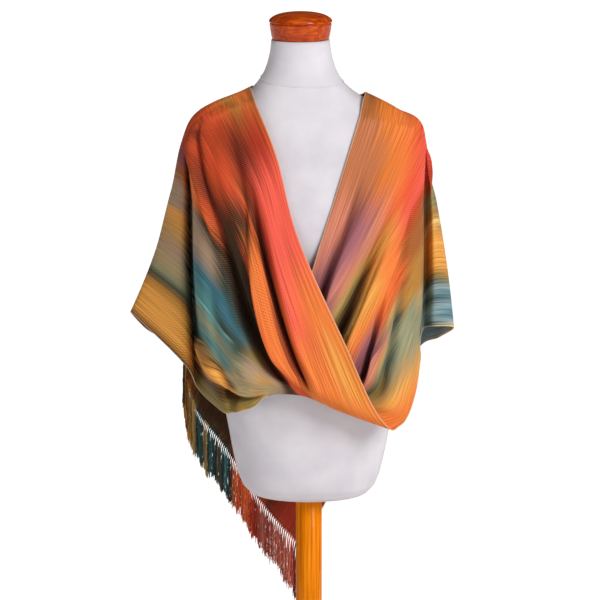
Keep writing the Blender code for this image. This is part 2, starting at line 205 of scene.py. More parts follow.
# Cotton jersey, a fine weft knit bleached white: matt, slightly fuzzy, faintly mottled where it is stretched.
# The real stitch is about 0.5 mm and too fine to show, so the knit is drawn 2 mm wide.
KNIT_WIDTH = 2.0 * MM
MOTTLE_WIDTH = 45 * MM
jersey, tree, shader = new_material(
    "white_cotton_jersey", Roughness=0.9, Sheen_Weight=0.25, Sheen_Roughness=0.5, Specular_IOR_Level=0.25)
place = add_node(tree, "ShaderNodeTexCoord").outputs["Object"]
mottle = add_node(tree, "ShaderNodeTexNoise", {"Vector": place, "Scale": 1 / MOTTLE_WIDTH, "Detail": 3.0})
tone = add_node(tree, "ShaderNodeValToRGB", [mottle])
set_ramp(tone, [(0.35, "#D0CCD3"), (0.70, "#DAD7DC")])
tree.links.new(tone.outputs["Color"], shader.inputs["Base Color"])
knit = add_node(tree, "ShaderNodeTexNoise", {"Vector": place, "Scale": 1 / KNIT_WIDTH, "Detail": 2.0})
raised = add_node(tree, "ShaderNodeBump", {"Height": knit, "Strength": 0.25, "Distance": 0.2 * MM})
tree.links.new(raised.outputs["Normal"], shader.inputs["Normal"])

torso = add_piece("torso_jersey", form_mesh, jersey)
finish_piece(torso, "white_jersey", "form_torso")


def tube_mesh(name, points, radius, fineness=3, closed=False):
    """A mesh tube with round section along points in metres. Its sides grow in number with its fineness."""
    curve = bpy.data.curves.new(name, "CURVE")
    curve.dimensions = "3D"
    curve.bevel_depth = radius
    curve.bevel_resolution = fineness
    curve.use_fill_caps = not closed
    line = curve.splines.new("POLY")
    line.points.add(len(points) - 1)
    for spot, point in zip(line.points, points):
        spot.co = (*point, 1.0)
    line.use_cyclic_u = closed
    holder = bpy.data.objects.new(name, curve)
    bpy.context.scene.collection.objects.link(holder)
    mesh = plain_mesh(holder)
    bpy.data.objects.remove(holder)
    bpy.data.curves.remove(curve)
    mesh.shade_smooth()
    return mesh


seam_angles = np.linspace(0, 2 * math.pi, SEAM_POINTS, endpoint=False)
seam_rises = SEAM_RISE_TO_BACK * (0.5 + 0.5 * np.sin(seam_angles))
seam_heights = SEAM_HEIGHT + seam_rises - SEAM_TILT * NECK_BASE_RADIUS * np.cos(seam_angles)
neck_seam_line = form_points(seam_angles, seam_heights, -FORM_INSET) * CM
neck_seam_mesh = tube_mesh("neck_seam_tape", neck_seam_line, SEAM_RADIUS, closed=True)
neck_seam = add_piece("neck_seam_tape", neck_seam_mesh, jersey)
finish_piece(neck_seam, "white_jersey")

# Neck cap: turned from one block, a cup that widens upwards with a groove under a low domed lid, stained red
# and varnished. It is screwed down on the neck over the jersey.
CAP_AXIS_X = -1.4 * CM
CAP_STEPS = 128
# Profile from the top of the lid down: (radius, height over the underside) in cm
CAP_LID = [(0.0, 4.55), (1.2, 4.52), (2.4, 4.40), (3.5, 4.18), (4.3, 3.88), (4.8, 3.58), (5.1, 3.28),
           (5.2, 3.05), (5.2, 2.93), (5.08, 2.84), (4.98, 2.79)]
CAP_CUP = [(4.97, 2.74), (5.06, 2.66), (5.09, 2.5), (5.05, 2.1), (4.95, 1.45), (4.84, 0.85), (4.72, 0.3),
           (4.62, 0.04), (4.5, 0.0)]
MERGE_WITHIN = 0.00005              # metres
SHARP_FROM = math.radians(50)


def turned_mesh(name, profile, steps, axis_x, base):
    """Turn a profile of (radius, height) in cm, given from the top down, about an upright axis."""
    mesh = bpy.data.meshes.new(name)
    verts = [(radius * CM, 0.0, height * CM) for radius, height in profile]
    mesh.from_pydata(verts, [(i, i + 1) for i in range(len(verts) - 1)], [])
    holder = bpy.data.objects.new(name, mesh)
    bpy.context.scene.collection.objects.link(holder)
    turn = holder.modifiers.new("turned", "SCREW")
    turn.steps = turn.render_steps = steps
    turn.use_merge_vertices = True
    turn.merge_threshold = MERGE_WITHIN
    turn.use_smooth_shade = True
    turned = plain_mesh(holder)
    bpy.data.objects.remove(holder)
    turned.transform(Matrix.Translation((axis_x, 0.0, base)))
    turned.set_sharp_from_angle(angle=SHARP_FROM)
    return turned


def path_lengths(points):
    """The length of a path up to each of its points."""
    return np.concatenate([[0.0], np.cumsum(np.linalg.norm(np.diff(points, axis=0), axis=1))])


def rounded_profile(points, steps_between=3):
    """More points on a smooth curve through a profile's points."""
    points = np.array(points)
    lengths = path_lengths(points)
    numbers = np.linspace(0, len(points) - 1, (len(points) - 1) * steps_between + 1)
    rounded = smooth_curve(lengths, points, np.interp(numbers, np.arange(len(points)), lengths))
    rounded[:, 0] = np.maximum(rounded[:, 0], 0.0)
    return [tuple(point) for point in rounded]


def wood_material(name, colours, grain_width, grain_length, run, coat):
    """Varnished wood, dark to light: streaks grain_width wide and grain_length long in mm, along axis run."""
    material, tree, shader = new_material(name, Roughness=0.5, Specular_IOR_Level=0.05, Coat_Weight=coat,
                                          Coat_Roughness=0.08, Coat_IOR=1.5)
    place = add_node(tree, "ShaderNodeTexCoord").outputs["Object"]
    stretch = [1 / (grain_width * MM)] * 3
    stretch[run] = 1 / (grain_length * MM)
    spread = add_node(tree, "ShaderNodeMapping", {"Vector": place, "Scale": stretch})
    streaks = add_node(tree, "ShaderNodeTexNoise", {
        "Vector": spread, "Scale": 1.0, "Detail": 5.0, "Roughness": 0.55, "Distortion": 0.4})
    ramp = add_node(tree, "ShaderNodeValToRGB", [streaks])
    set_ramp(ramp, list(zip((0.28, 0.5, 0.74), colours)))
    tree.links.new(ramp.outputs["Color"], shader.inputs["Base Color"])
    pores = add_node(tree, "ShaderNodeBump", {"Height": streaks, "Strength": 0.15, "Distance": 0.2 * MM})
    tree.links.new(pores.outputs["Normal"], shader.inputs["Normal"])
    return material


# Stained and varnished softwood, brush-coated: deep red-brown with orange streaks under a clear gloss.
cap_wood = wood_material("red_stained_varnished_wood", ("#7A2202", "#B03C04", "#D8640A"), grain_width=5.0,
                         grain_length=30.0, run=0, coat=0.35)
cap_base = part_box("neck_cap")[0].z
cap_profile = rounded_profile(CAP_LID) + rounded_profile(CAP_CUP) + [(0.0, 0.0)]
cap_mesh = turned_mesh("neck_cap_turned", cap_profile, CAP_STEPS, CAP_AXIS_X, cap_base)
neck_cap = add_piece("neck_cap_turned", cap_mesh, cap_wood)
finish_piece(neck_cap, "cap_wood", "neck_cap")

# Pole: a turned rod of honey-coloured pine, stood between the torso's underside and the foot. Its ends are
# eased.
POLE_RADIUS = 2.2
POLE_STEPS = 72
PINE_COLOURS = ("#B85800", "#E88004", "#FC9C20")
POLE_EASE = 0.15
pole_low, pole_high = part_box("stand_pole")
pole_length = (pole_high.z - pole_low.z) / CM
pole_profile = [(0.0, pole_length), (POLE_RADIUS - POLE_EASE, pole_length),
                (POLE_RADIUS, pole_length - POLE_EASE), (POLE_RADIUS, pole_length * 0.5),
                (POLE_RADIUS, POLE_EASE), (POLE_RADIUS - POLE_EASE, 0.0), (0.0, 0.0)]
# Varnished pine, planed and sealed: long straight grain, amber under a satin coat.
pine = wood_material("varnished_honey_pine", PINE_COLOURS, grain_width=4.0, grain_length=160.0, run=2,
                     coat=0.08)
pole = add_piece("pole_turned", turned_mesh("pole_turned", pole_profile, POLE_STEPS, 0.0, pole_low.z), pine)
finish_piece(pole, "stand_wood", "stand_pole")

# Foot: a flat turned disc of the same pine, with a rounded rim and a shallow ring cut round the pole's
# socket.
FOOT_RADIUS = 18.0
FOOT_STEPS = 144
foot_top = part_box("stand_foot")[1].z / CM
foot_profile = [
    (0.0, foot_top), (2.9, foot_top), (3.0, foot_top - 0.1), (3.2, foot_top - 0.1), (3.3, foot_top),
    (16.6, foot_top), (17.2, foot_top - 0.12), (17.7, foot_top - 0.45), (17.95, foot_top - 0.95),
    (FOOT_RADIUS, foot_top * 0.5), (17.95, 0.8), (17.7, 0.3), (17.4, 0.0), (0.0, 0.0)]
foot_pine = wood_material("varnished_pine_board", PINE_COLOURS, grain_width=7.0, grain_length=220.0, run=0,
                          coat=0.08)
foot = add_piece("foot_turned", turned_mesh("foot_turned", foot_profile, FOOT_STEPS, 0.0, 0.0), foot_pine)
finish_piece(foot, "stand_wood", "stand_foot")

# Poncho: one strip of hand-woven rayon twill, dyed in bands before weaving. It lies over the left shoulder,
# turns over itself at the front, goes up over the right shoulder and hangs down the back to its fringe.
# Sections cross the strip from the neck selvedge to the outer one: x, y, z in cm at five even places.
STRIP_WIDTH = 0.47
CLOTH_THICKNESS = 1.2 * MM
CLOTH_COLUMNS = 190
ROW_SPACING = 0.80                  # cm between rows of the mesh
ROWS_AT_LEAST = 6                   # between two sections, where the strip turns over tightly
SECTIONS = {
    "left_seam": [
        (-3.3, 9, 126.8), (-7.8, 10.1, 116.8), (-12.1, 9.6, 106.3), (-16.3, 8.1, 95.2), (-20.5, 5.1, 84.5)],
    "left_back": [
        (-8.6, 5.4, 128.6), (-15.6, 6.9, 121.3), (-20.4, 6, 110.5), (-23.8, 4.4, 99), (-27.1, 2.5, 88)],
    "left_ridge": [
        (-9.7, -2, 129.4), (-19.6, -0.6, 122.7), (-22.8, 0.5, 112), (-25.4, 0.5, 101.2), (-29.1, 0, 91)],
    "left_wing": [
        (-9.4, -3.6, 128.9), (-19.3, -2, 121.8), (-20.6, -2.5, 111.3), (-20.7, -3.5, 98.4),
        (-20.3, -4.5, 83.2)],
    "left_valley": [
        (-9.1, -4.6, 128.1), (-19, -2.6, 121.2), (-19.6, 0.5, 109.4), (-19.5, 1, 94.9), (-18.7, -2, 79.2)],
    "left_panel_edge": [
        (-8.6, -6, 126.9), (-18.4, -4.2, 120.2), (-18.7, -6.5, 109.3), (-18.2, -8.5, 94.7),
        (-14.6, -9.3, 76.9)],
    "left_panel": [
        (-5.4, -9.5, 119.2), (-13.7, -10.2, 112), (-15.1, -11, 103.1), (-14.9, -11.5, 89.9),
        (-12.5, -10.9, 76.9)],
    "left_bust": [
        (-1.7, -12.6, 105.7), (-7.5, -13.5, 100.2), (-10.4, -13.5, 93.6), (-11.6, -13.4, 85),
        (-10.7, -12, 77.7)],
    "left_waist": [
        (5.3, -15, 90.1), (-1.5, -14.8, 88.9), (-5.4, -14.4, 87.2), (-9, -14.1, 82.8), (-8.8, -12.6, 78.5)],
    "turn_front": [
        (12.3, -14.5, 75.7), (4.5, -15, 78.7), (-0.5, -14.6, 80.9), (-5, -14, 81.3), (-7, -13, 80)],
    "turn_edge": [
        (13.6, -13.7, 74.5), (4.9, -13.6, 77.7), (-0.4, -13.3, 80), (-4.8, -12.9, 80.4),
        (-6.6, -12.2, 79.9)],
    "turn_back": [
        (14.7, -12.6, 74.9), (5, -12.1, 78.4), (-0.3, -11.9, 80.8), (-4.5, -11.7, 81.3),
        (-6.3, -11.4, 80.6)],
    "right_hip": [
        (16, -11.5, 76.1), (10.3, -12, 79.5), (5, -11.7, 82.4), (-1.5, -11.3, 84.5), (-6.1, -11, 84.6)],
    "right_waist": [
        (17.4, -9, 79.3), (12.9, -12.5, 85.1), (8.6, -12.8, 88.5), (2.6, -12.3, 91.7), (-1.8, -11.9, 91.6)],
    "right_bust": [
        (18.3, -7, 84.4), (15.6, -11, 92), (12.1, -12.8, 97.6), (7.6, -13, 101), (0.6, -12.1, 100.9)],
    "right_panel": [
        (18.4, -6, 85.7), (17.3, -9, 95.7), (15.6, -10.5, 103.8), (13.1, -11.2, 111.3), (4.5, -10.2, 113.2)],
    "right_panel_edge": [
        (18.3, -4.8, 86.8), (18.4, -7, 97.7), (18.5, -6.2, 108.8), (18, -3.8, 120.3), (7.8, -6.55, 123.5)],
    "right_valley": [
        (19.2, -1.7, 89.2), (19.5, 0.8, 98.3), (19.2, 0, 109.4), (18.3, -2.3, 121.1), (8.4, -5.3, 125.6)],
    "right_wing": [
        (20.8, -3.3, 89.8), (20.6, -3, 100.5), (20.2, -2.2, 111.2), (18.6, -1.5, 121.6), (8.8, -4.1, 127.3)],
    "right_ridge": [
        (23.7, -0.5, 89.2), (22.5, 0, 100.1), (20.9, 0.5, 111), (18.5, -0.3, 122.1), (9.2, -2, 128.3)],
    "right_back": [
        (22, 5, 86.2), (21.6, 6, 97.6), (19.4, 6.5, 109.5), (15.2, 6.8, 121.2), (7.6, 5.8, 127.05)],
    "nape": [(19.2, 8.5, 84.2), (18, 10, 96), (13.8, 11, 107.6), (6.5, 11.2, 118), (-4.2, 9.4, 126.65)],
    "back_high": [
        (14.3, 11.5, 75.8), (12.4, 12.6, 88), (7.8, 12.8, 99), (0.5, 12.5, 109), (-8.9, 10.5, 117.3)],
    "back_middle": [
        (9.2, 13.2, 66.5), (6.2, 14.2, 78), (1, 14.2, 88.8), (-6, 13, 98.5), (-13.3, 10.2, 106.8)],
    "back_low": [
        (4, 13.4, 57.2), (-1.2, 14.5, 67.3), (-6.8, 14.2, 77.2), (-12.6, 12.2, 86.8), (-17.6, 8.5, 95.8)],
    "fringed_end": [
        (-1.2, 12, 47.9), (-8, 13.2, 55.4), (-14.1, 12.2, 65.4), (-19.3, 9.2, 73.4), (-21, 4.8, 83.4)],
}

# Folds laid over the drape. Each row is a place on a fold's crest or bottom: cm along the strip, share of its
# width, height in cm (a trough's is negative), half width as a share of the width, and, where it leans over
# towards the outer selvedge, how far in cm.
FOLDS = {
    "left_shoulder_corner": [
        (5, 0.22, 0, 0.1), (12, 0.22, 0.35, 0.1), (24, 0.22, 0.35, 0.1), (32, 0.22, 0, 0.1)],
    "left_shoulder_slope": [
        (5, 0.15, 0, 0.13), (12, 0.15, 0.5, 0.13), (22, 0.15, 0.5, 0.13), (30, 0.15, 0, 0.13)],
    "shoulder_cone": [
        (20, 0.225, 0, 0.035), (23, 0.24, 0.5, 0.04), (27, 0.28, 0.9, 0.05), (31, 0.335, 1.1, 0.06),
        (35, 0.41, 1, 0.06), (39, 0.47, 0, 0.06)],
    "cone_crease": [
        (22, 0.205, 0, 0.03), (25, 0.215, -0.4, 0.03), (28, 0.235, -0.8, 0.032), (31, 0.265, -0.9, 0.035),
        (34, 0.315, -0.6, 0.035), (38, 0.37, 0, 0.03)],
    "shoulder_trough": [
        (34, 0.34, 0, 0.06), (38, 0.385, -1, 0.075), (42, 0.435, -2.1, 0.09), (45, 0.472, -2.9, 0.095),
        (48, 0.505, -3.4, 0.09), (52, 0.548, -3.3, 0.08), (56, 0.582, -2.5, 0.07), (60, 0.61, -1.2, 0.06),
        (63, 0.63, 0, 0.06)],
    "vermilion_ridge": [
        (40.5, 0.145, 0, 0.03), (43.5, 0.21, 1.1, 0.045, 0.5), (47.5, 0.305, 1.8, 0.07, 1.3),
        (53, 0.395, 2, 0.085, 1.8), (56, 0.445, 1.8, 0.085, 1.6), (60, 0.505, 1, 0.075, 0.8),
        (63.2, 0.54, 0, 0.06)],
    "band_crease": [
        (38, 0.12, 0, 0.025), (42, 0.153, -1.1, 0.026), (45, 0.184, -2.3, 0.028), (48.6, 0.231, -3.2, 0.031),
        (53, 0.296, -3, 0.033), (56, 0.345, -2.4, 0.033), (60, 0.424, -1.9, 0.032), (63.5, 0.49, 0, 0.028)],
    "band_rim": [
        (41, 0.07, 0, 0.05), (45, 0.11, 0.5, 0.055, 0.2), (49, 0.16, 0.8, 0.06, 0.4),
        (53, 0.215, 0.9, 0.06, 0.4), (57, 0.275, 0.8, 0.06, 0.3), (61, 0.35, 0.4, 0.06, 0.1),
        (64, 0.42, 0, 0.05)],
    "brick_fold": [
        (30, 0.1, 0, 0.03), (34, 0.13, -0.35, 0.03), (38, 0.155, -0.7, 0.035), (42, 0.2, -0.7, 0.035),
        (45, 0.24, 0, 0.03)],
    "faint_pleat": [
        (31, 0.16, 0, 0.04), (35, 0.2, 0.35, 0.045), (40, 0.245, 0.3, 0.045), (44, 0.29, 0, 0.04)],
    "teal_swell": [
        (36, 0.66, 0, 0.1), (44, 0.7, 0.6, 0.1, 0.3), (52, 0.73, 0.7, 0.1, 0.3), (60, 0.76, 0, 0.1)],
    "pocket_ridge": [
        (23, 0.85, 0, 0.035), (27, 0.88, 1.1, 0.04), (30, 0.895, 1.3, 0.04), (34, 0.905, 1, 0.035),
        (38, 0.925, 0, 0.03)],
    "pocket_crease": [
        (28, 0.945, 0, 0.025), (32, 0.945, -0.9, 0.03), (36, 0.945, -1.2, 0.03), (40, 0.95, -0.6, 0.028),
        (44, 0.955, 0, 0.025)],
    "hem_crease": [
        (33, 0.945, 0, 0.022), (38, 0.945, -1.1, 0.025), (45, 0.945, -1.4, 0.026), (52, 0.94, -1.3, 0.026),
        (58, 0.94, -0.9, 0.026), (62, 0.95, 0, 0.025)],
    "hem_roll": [(37, 0.99, 0, 0.05), (43, 0.99, 0.5, 0.05), (52, 0.985, 0.5, 0.05), (59, 0.98, 0, 0.05)],
    "hip_swell": [
        (66.5, 0.14, 0, 0.08), (72, 0.16, 0.6, 0.08, 0.3), (79, 0.15, 0.8, 0.08, 0.4),
        (85, 0.14, 0.6, 0.08, 0.2), (92, 0.13, 0, 0.08)],
    "olive_dip": [
        (69, 0.27, 0, 0.05), (72, 0.265, -0.7, 0.05), (76, 0.255, -1, 0.055), (80, 0.26, -1.1, 0.055),
        (84, 0.29, -1.1, 0.05), (88, 0.33, -0.9, 0.05), (92, 0.375, -0.5, 0.045), (96, 0.42, 0, 0.045)],
    "rose_ridge": [
        (68, 0.31, 0, 0.03), (71, 0.335, 0.5, 0.035, 0.2), (74, 0.35, 0.9, 0.035, 0.5),
        (77, 0.36, 1.1, 0.035, 0.6), (80, 0.385, 1.1, 0.035, 0.6), (84, 0.42, 0.8, 0.035, 0.4),
        (90, 0.455, 0, 0.04)],
    "plum_trough": [
        (68, 0.36, 0, 0.03), (71, 0.38, -1, 0.035), (74, 0.4, -1.9, 0.035), (77, 0.42, -2.1, 0.035),
        (80, 0.435, -1.6, 0.035), (83, 0.46, -0.8, 0.035), (87, 0.49, 0, 0.03)],
    "gold_ridge": [
        (68, 0.52, 0, 0.05), (72, 0.535, 0.6, 0.055, 0.3), (76, 0.545, 1.1, 0.055, 0.7),
        (80, 0.55, 1.5, 0.055, 1), (84, 0.555, 1.5, 0.055, 0.9), (88, 0.575, 1.1, 0.055, 0.6),
        (93, 0.62, 0.6, 0.06, 0.2), (99, 0.66, 0, 0.06)],
    "olive_trough": [
        (68, 0.61, 0, 0.035), (72, 0.625, -1, 0.04), (76, 0.64, -2.3, 0.042), (80, 0.65, -3.2, 0.044),
        (84, 0.655, -3.1, 0.044), (88, 0.675, -1.9, 0.044), (92, 0.705, -0.8, 0.045), (97, 0.73, 0, 0.045)],
    "mauve_ridge": [
        (74, 0.75, 0, 0.06), (79, 0.785, 0.7, 0.06, 0.3), (84, 0.82, 1.1, 0.05, 0.5),
        (89, 0.85, 0.9, 0.05, 0.4), (93, 0.87, 0.5, 0.05, 0.2), (98, 0.89, 0, 0.05)],
    "mauve_trough": [
        (75, 0.87, 0, 0.05), (80, 0.885, -1.1, 0.045), (85, 0.9, -1.8, 0.045), (89, 0.91, -1.5, 0.045),
        (93, 0.93, -0.8, 0.045), (98, 0.95, 0, 0.045)],
    "brick_dip": [
        (86, 0.47, 0, 0.05), (91, 0.46, -0.7, 0.05), (96, 0.5, -0.9, 0.06), (99, 0.58, -0.5, 0.06),
        (105, 0.63, 0, 0.06)],
    "right_shoulder_corner": [
        (99, 0.79, 0, 0.08), (106, 0.79, 0.6, 0.08), (118, 0.79, 0.6, 0.08), (126, 0.79, 0, 0.09)],
    "right_shoulder_drop": [
        (103, 0.62, 0, 0.14), (108, 0.62, -0.5, 0.14), (116, 0.62, -0.5, 0.14), (121, 0.62, 0, 0.14)],
    "back_trough": [
        (128, 0.62, 0, 0.1), (140, 0.59, -0.7, 0.11), (155, 0.55, -1, 0.11), (177, 0.58, -0.9, 0.11)],
    "back_ridge": [
        (124, 0.36, 0, 0.1), (136, 0.34, 0.7, 0.11, 0.3), (155, 0.32, 1.1, 0.1, 0.4),
        (177, 0.38, 0.9, 0.1, 0.3)],
    "tail_trough": [
        (130, 0.12, 0, 0.08), (142, 0.12, -0.7, 0.09), (160, 0.14, -1, 0.09), (177, 0.18, -0.8, 0.09)],
    "back_pleat": [
        (134, 0.78, 0, 0.06), (146, 0.76, 0.5, 0.06, 0.2), (160, 0.77, 0.6, 0.06, 0.2),
        (177, 0.8, 0.4, 0.06, 0.1)],
    "nape_crease": [
        (116, 0.52, 0, 0.05), (122, 0.5, -0.5, 0.06), (131, 0.47, -0.5, 0.06), (140, 0.46, 0, 0.06)],
}
OUTSIDE_CHANGES = 63.0              # cm along the strip where the half twist turns its other face outwards


def surface_normals(points):
    """Unit normals of a grid of points, outwards on the worn poncho past the half twist."""
    normals = np.cross(np.gradient(points, axis=0), np.gradient(points, axis=1))
    return normals / np.linalg.norm(normals, axis=2, keepdims=True)


def fold_relief(folds, along, across):
    """How far, in cm, the folds stand out of the drape and lean sideways at each place."""
    share = across[None, :]
    relief = np.zeros((len(along), len(across)))
    lean = np.zeros_like(relief)
    for rows in folds.values():
        rows = np.array([(*row, 0.0)[:5] for row in rows])
        middle, height, half_width, sideways = smooth_curve(
            rows[:, 0], rows[:, 1:], np.clip(along, rows[0, 0], rows[-1, 0])).T[:, :, None]
        inside = ((along >= rows[0, 0]) & (along <= rows[-1, 0]))[:, None]
        profile = inside * np.cos(np.clip(np.abs(share - middle) / half_width, 0.0, 1.0) * math.pi / 2) ** 2
        relief += height * profile
        lean += sideways * profile
    return relief, lean


def strip_rows(stations):
    """Places of the mesh rows along the strip, closer where two sections are close."""
    rows = []
    for start, end in zip(stations, stations[1:]):
        count = max(ROWS_AT_LEAST, math.ceil((end - start) / ROW_SPACING))
        rows.extend(np.linspace(start, end, count, endpoint=False))
    return np.array(rows + [stations[-1]])


across = np.linspace(0.0, 1.0, CLOTH_COLUMNS)
five_places = np.linspace(0.0, 1.0, 5)
sections = np.array([smooth_curve(five_places, section, across) for section in SECTIONS.values()])
chords = np.linalg.norm(np.diff(sections, axis=0), axis=2).mean(axis=1)
stations = np.concatenate([[0.0], np.cumsum(chords)])
along = strip_rows(stations)
drape = np.array([smooth_curve(stations, sections[:, column], along) for column in range(CLOTH_COLUMNS)])
drape = drape.transpose(1, 0, 2)
faces_out = surface_normals(drape) * np.where(along < OUTSIDE_CHANGES, -1.0, 1.0)[:, None, None]
outer_way = np.gradient(drape, axis=1)
outer_way /= np.linalg.norm(outer_way, axis=2, keepdims=True)
relief, lean = fold_relief(FOLDS, along, across)
cloth_points = (drape + faces_out * relief[:, :, None] + outer_way * lean[:, :, None]) * CM

strip_mesh = bpy.data.meshes.new("poncho_strip")
strip_mesh.from_pydata(cloth_points.reshape(-1, 3).tolist(), [], grid_faces(len(along), CLOTH_COLUMNS))

# Where the cloth gathers towards the turn at the front, its threads run along the folds. Each row follows one
# thread, named by its share of the woven width: cm along the strip, and the share of the worn width that it
# has there.
THREAD_PATHS = {
    0.17: [
        (0, 0.17), (36, 0.158), (42, 0.155), (45, 0.177), (48.6, 0.222), (53, 0.287), (56, 0.338),
        (60, 0.42), (63.5, 0.47), (65.5, 0.4), (67.5, 0.2), (69, 0.17), (71, 0.17), (90, 0.17), (178, 0.17)],
    0.25: [
        (0, 0.25), (36, 0.235), (43.5, 0.235), (47.5, 0.29), (53, 0.375), (56, 0.425), (60, 0.49),
        (63.5, 0.53), (65.5, 0.46), (67.5, 0.28), (69, 0.25), (71, 0.25), (90, 0.25), (178, 0.25)],
    0.34: [
        (0, 0.34), (30, 0.335), (38, 0.325), (44, 0.335), (48, 0.39), (52, 0.47), (56, 0.53), (60, 0.57),
        (63.5, 0.59), (65.5, 0.53), (67.5, 0.37), (69, 0.34), (71, 0.34), (90, 0.34), (178, 0.34)],
    0.6: [
        (0, 0.6), (20, 0.62), (28, 0.63), (35, 0.605), (41, 0.58), (47, 0.56), (53, 0.57), (58, 0.61),
        (63.5, 0.65), (66, 0.63), (69, 0.6), (71, 0.6), (90, 0.6), (178, 0.6)],
    0.74: [
        (0, 0.75), (25, 0.76), (30, 0.748), (35, 0.732), (40, 0.71), (48, 0.665), (53, 0.65), (58, 0.665),
        (63.5, 0.71), (66, 0.73), (69, 0.74), (71, 0.74), (90, 0.74), (178, 0.74)],
    0.87: [
        (0, 0.87), (30, 0.865), (45, 0.84), (53, 0.81), (60, 0.81), (66, 0.85), (69, 0.87), (71, 0.87),
        (90, 0.87), (178, 0.87)],
}
path_shares = np.stack([smooth_curve([row[0] for row in rows], np.array(rows)[:, 1:], along)[:, 0]
                        for rows in THREAD_PATHS.values()], axis=1)
woven_shares = [0.0, *THREAD_PATHS, 1.0]
woven = np.array([np.interp(across, [0.0, *shares, 1.0], woven_shares) for shares in path_shares])
warp_along = np.broadcast_to(along[:, None] * CM, woven.shape)
warp_place = np.stack([warp_along, woven * STRIP_WIDTH], axis=-1).reshape(-1, 2)


def write_warp_map(mesh, places):
    """A UV map in metres on the cloth as woven: across the strip, then along it."""
    layer = mesh.uv_layers.new(name="warp")
    corners = np.zeros(len(mesh.loops), int)
    mesh.loops.foreach_get("vertex_index", corners)
    layer.data.foreach_set("uv", places[corners][:, ::-1].astype(np.float32).ravel())


write_warp_map(strip_mesh, warp_place)
strip_holder = bpy.data.objects.new("poncho_strip_holder", strip_mesh)
bpy.context.scene.collection.objects.link(strip_holder)
wall = strip_holder.modifiers.new("wall", "SOLIDIFY")
wall.thickness = CLOTH_THICKNESS
wall.offset = 0.0
cloth_mesh = plain_mesh(strip_holder)
bpy.data.objects.remove(strip_holder)
cloth_mesh.shade_smooth()

# Dyes as they dried on rayon, each named for its colour. The near-black brown among them is no dye but
# painted shade, for the deepest troughs and creases, the wing's valley and the fringe hanging in shade.
DYES = {
    "coral": "#EC5848", "vermilion": "#E2502C", "orange": "#EC7A38", "amber": "#E0782A", "gold": "#E8A048",
    "straw": "#E8C078", "tan": "#C49454", "beige": "#AE9A70", "olive": "#8C7A3C", "sage": "#8E9070",
    "teal": "#468688", "blue": "#2E6C7C", "mint": "#8CC4B4", "taupe": "#A88E76", "mauve": "#A6666F",
    "plum": "#7C4452", "brick": "#B8401C", "maroon": "#701E12", "brown": "#A05A28", "rose": "#D6846C",
    # The near-black brown at the end of the next line is painted shade, not a dye.
    "steel": "#8AA6AC", "forest": "#223F3C", "crimson": "#AE2E1E", "umber": "#3E2412", "walnut": "#1E0E08",
    "clay": "#BE7048", "rust": "#D8602A", "ochre": "#B27C34",
}
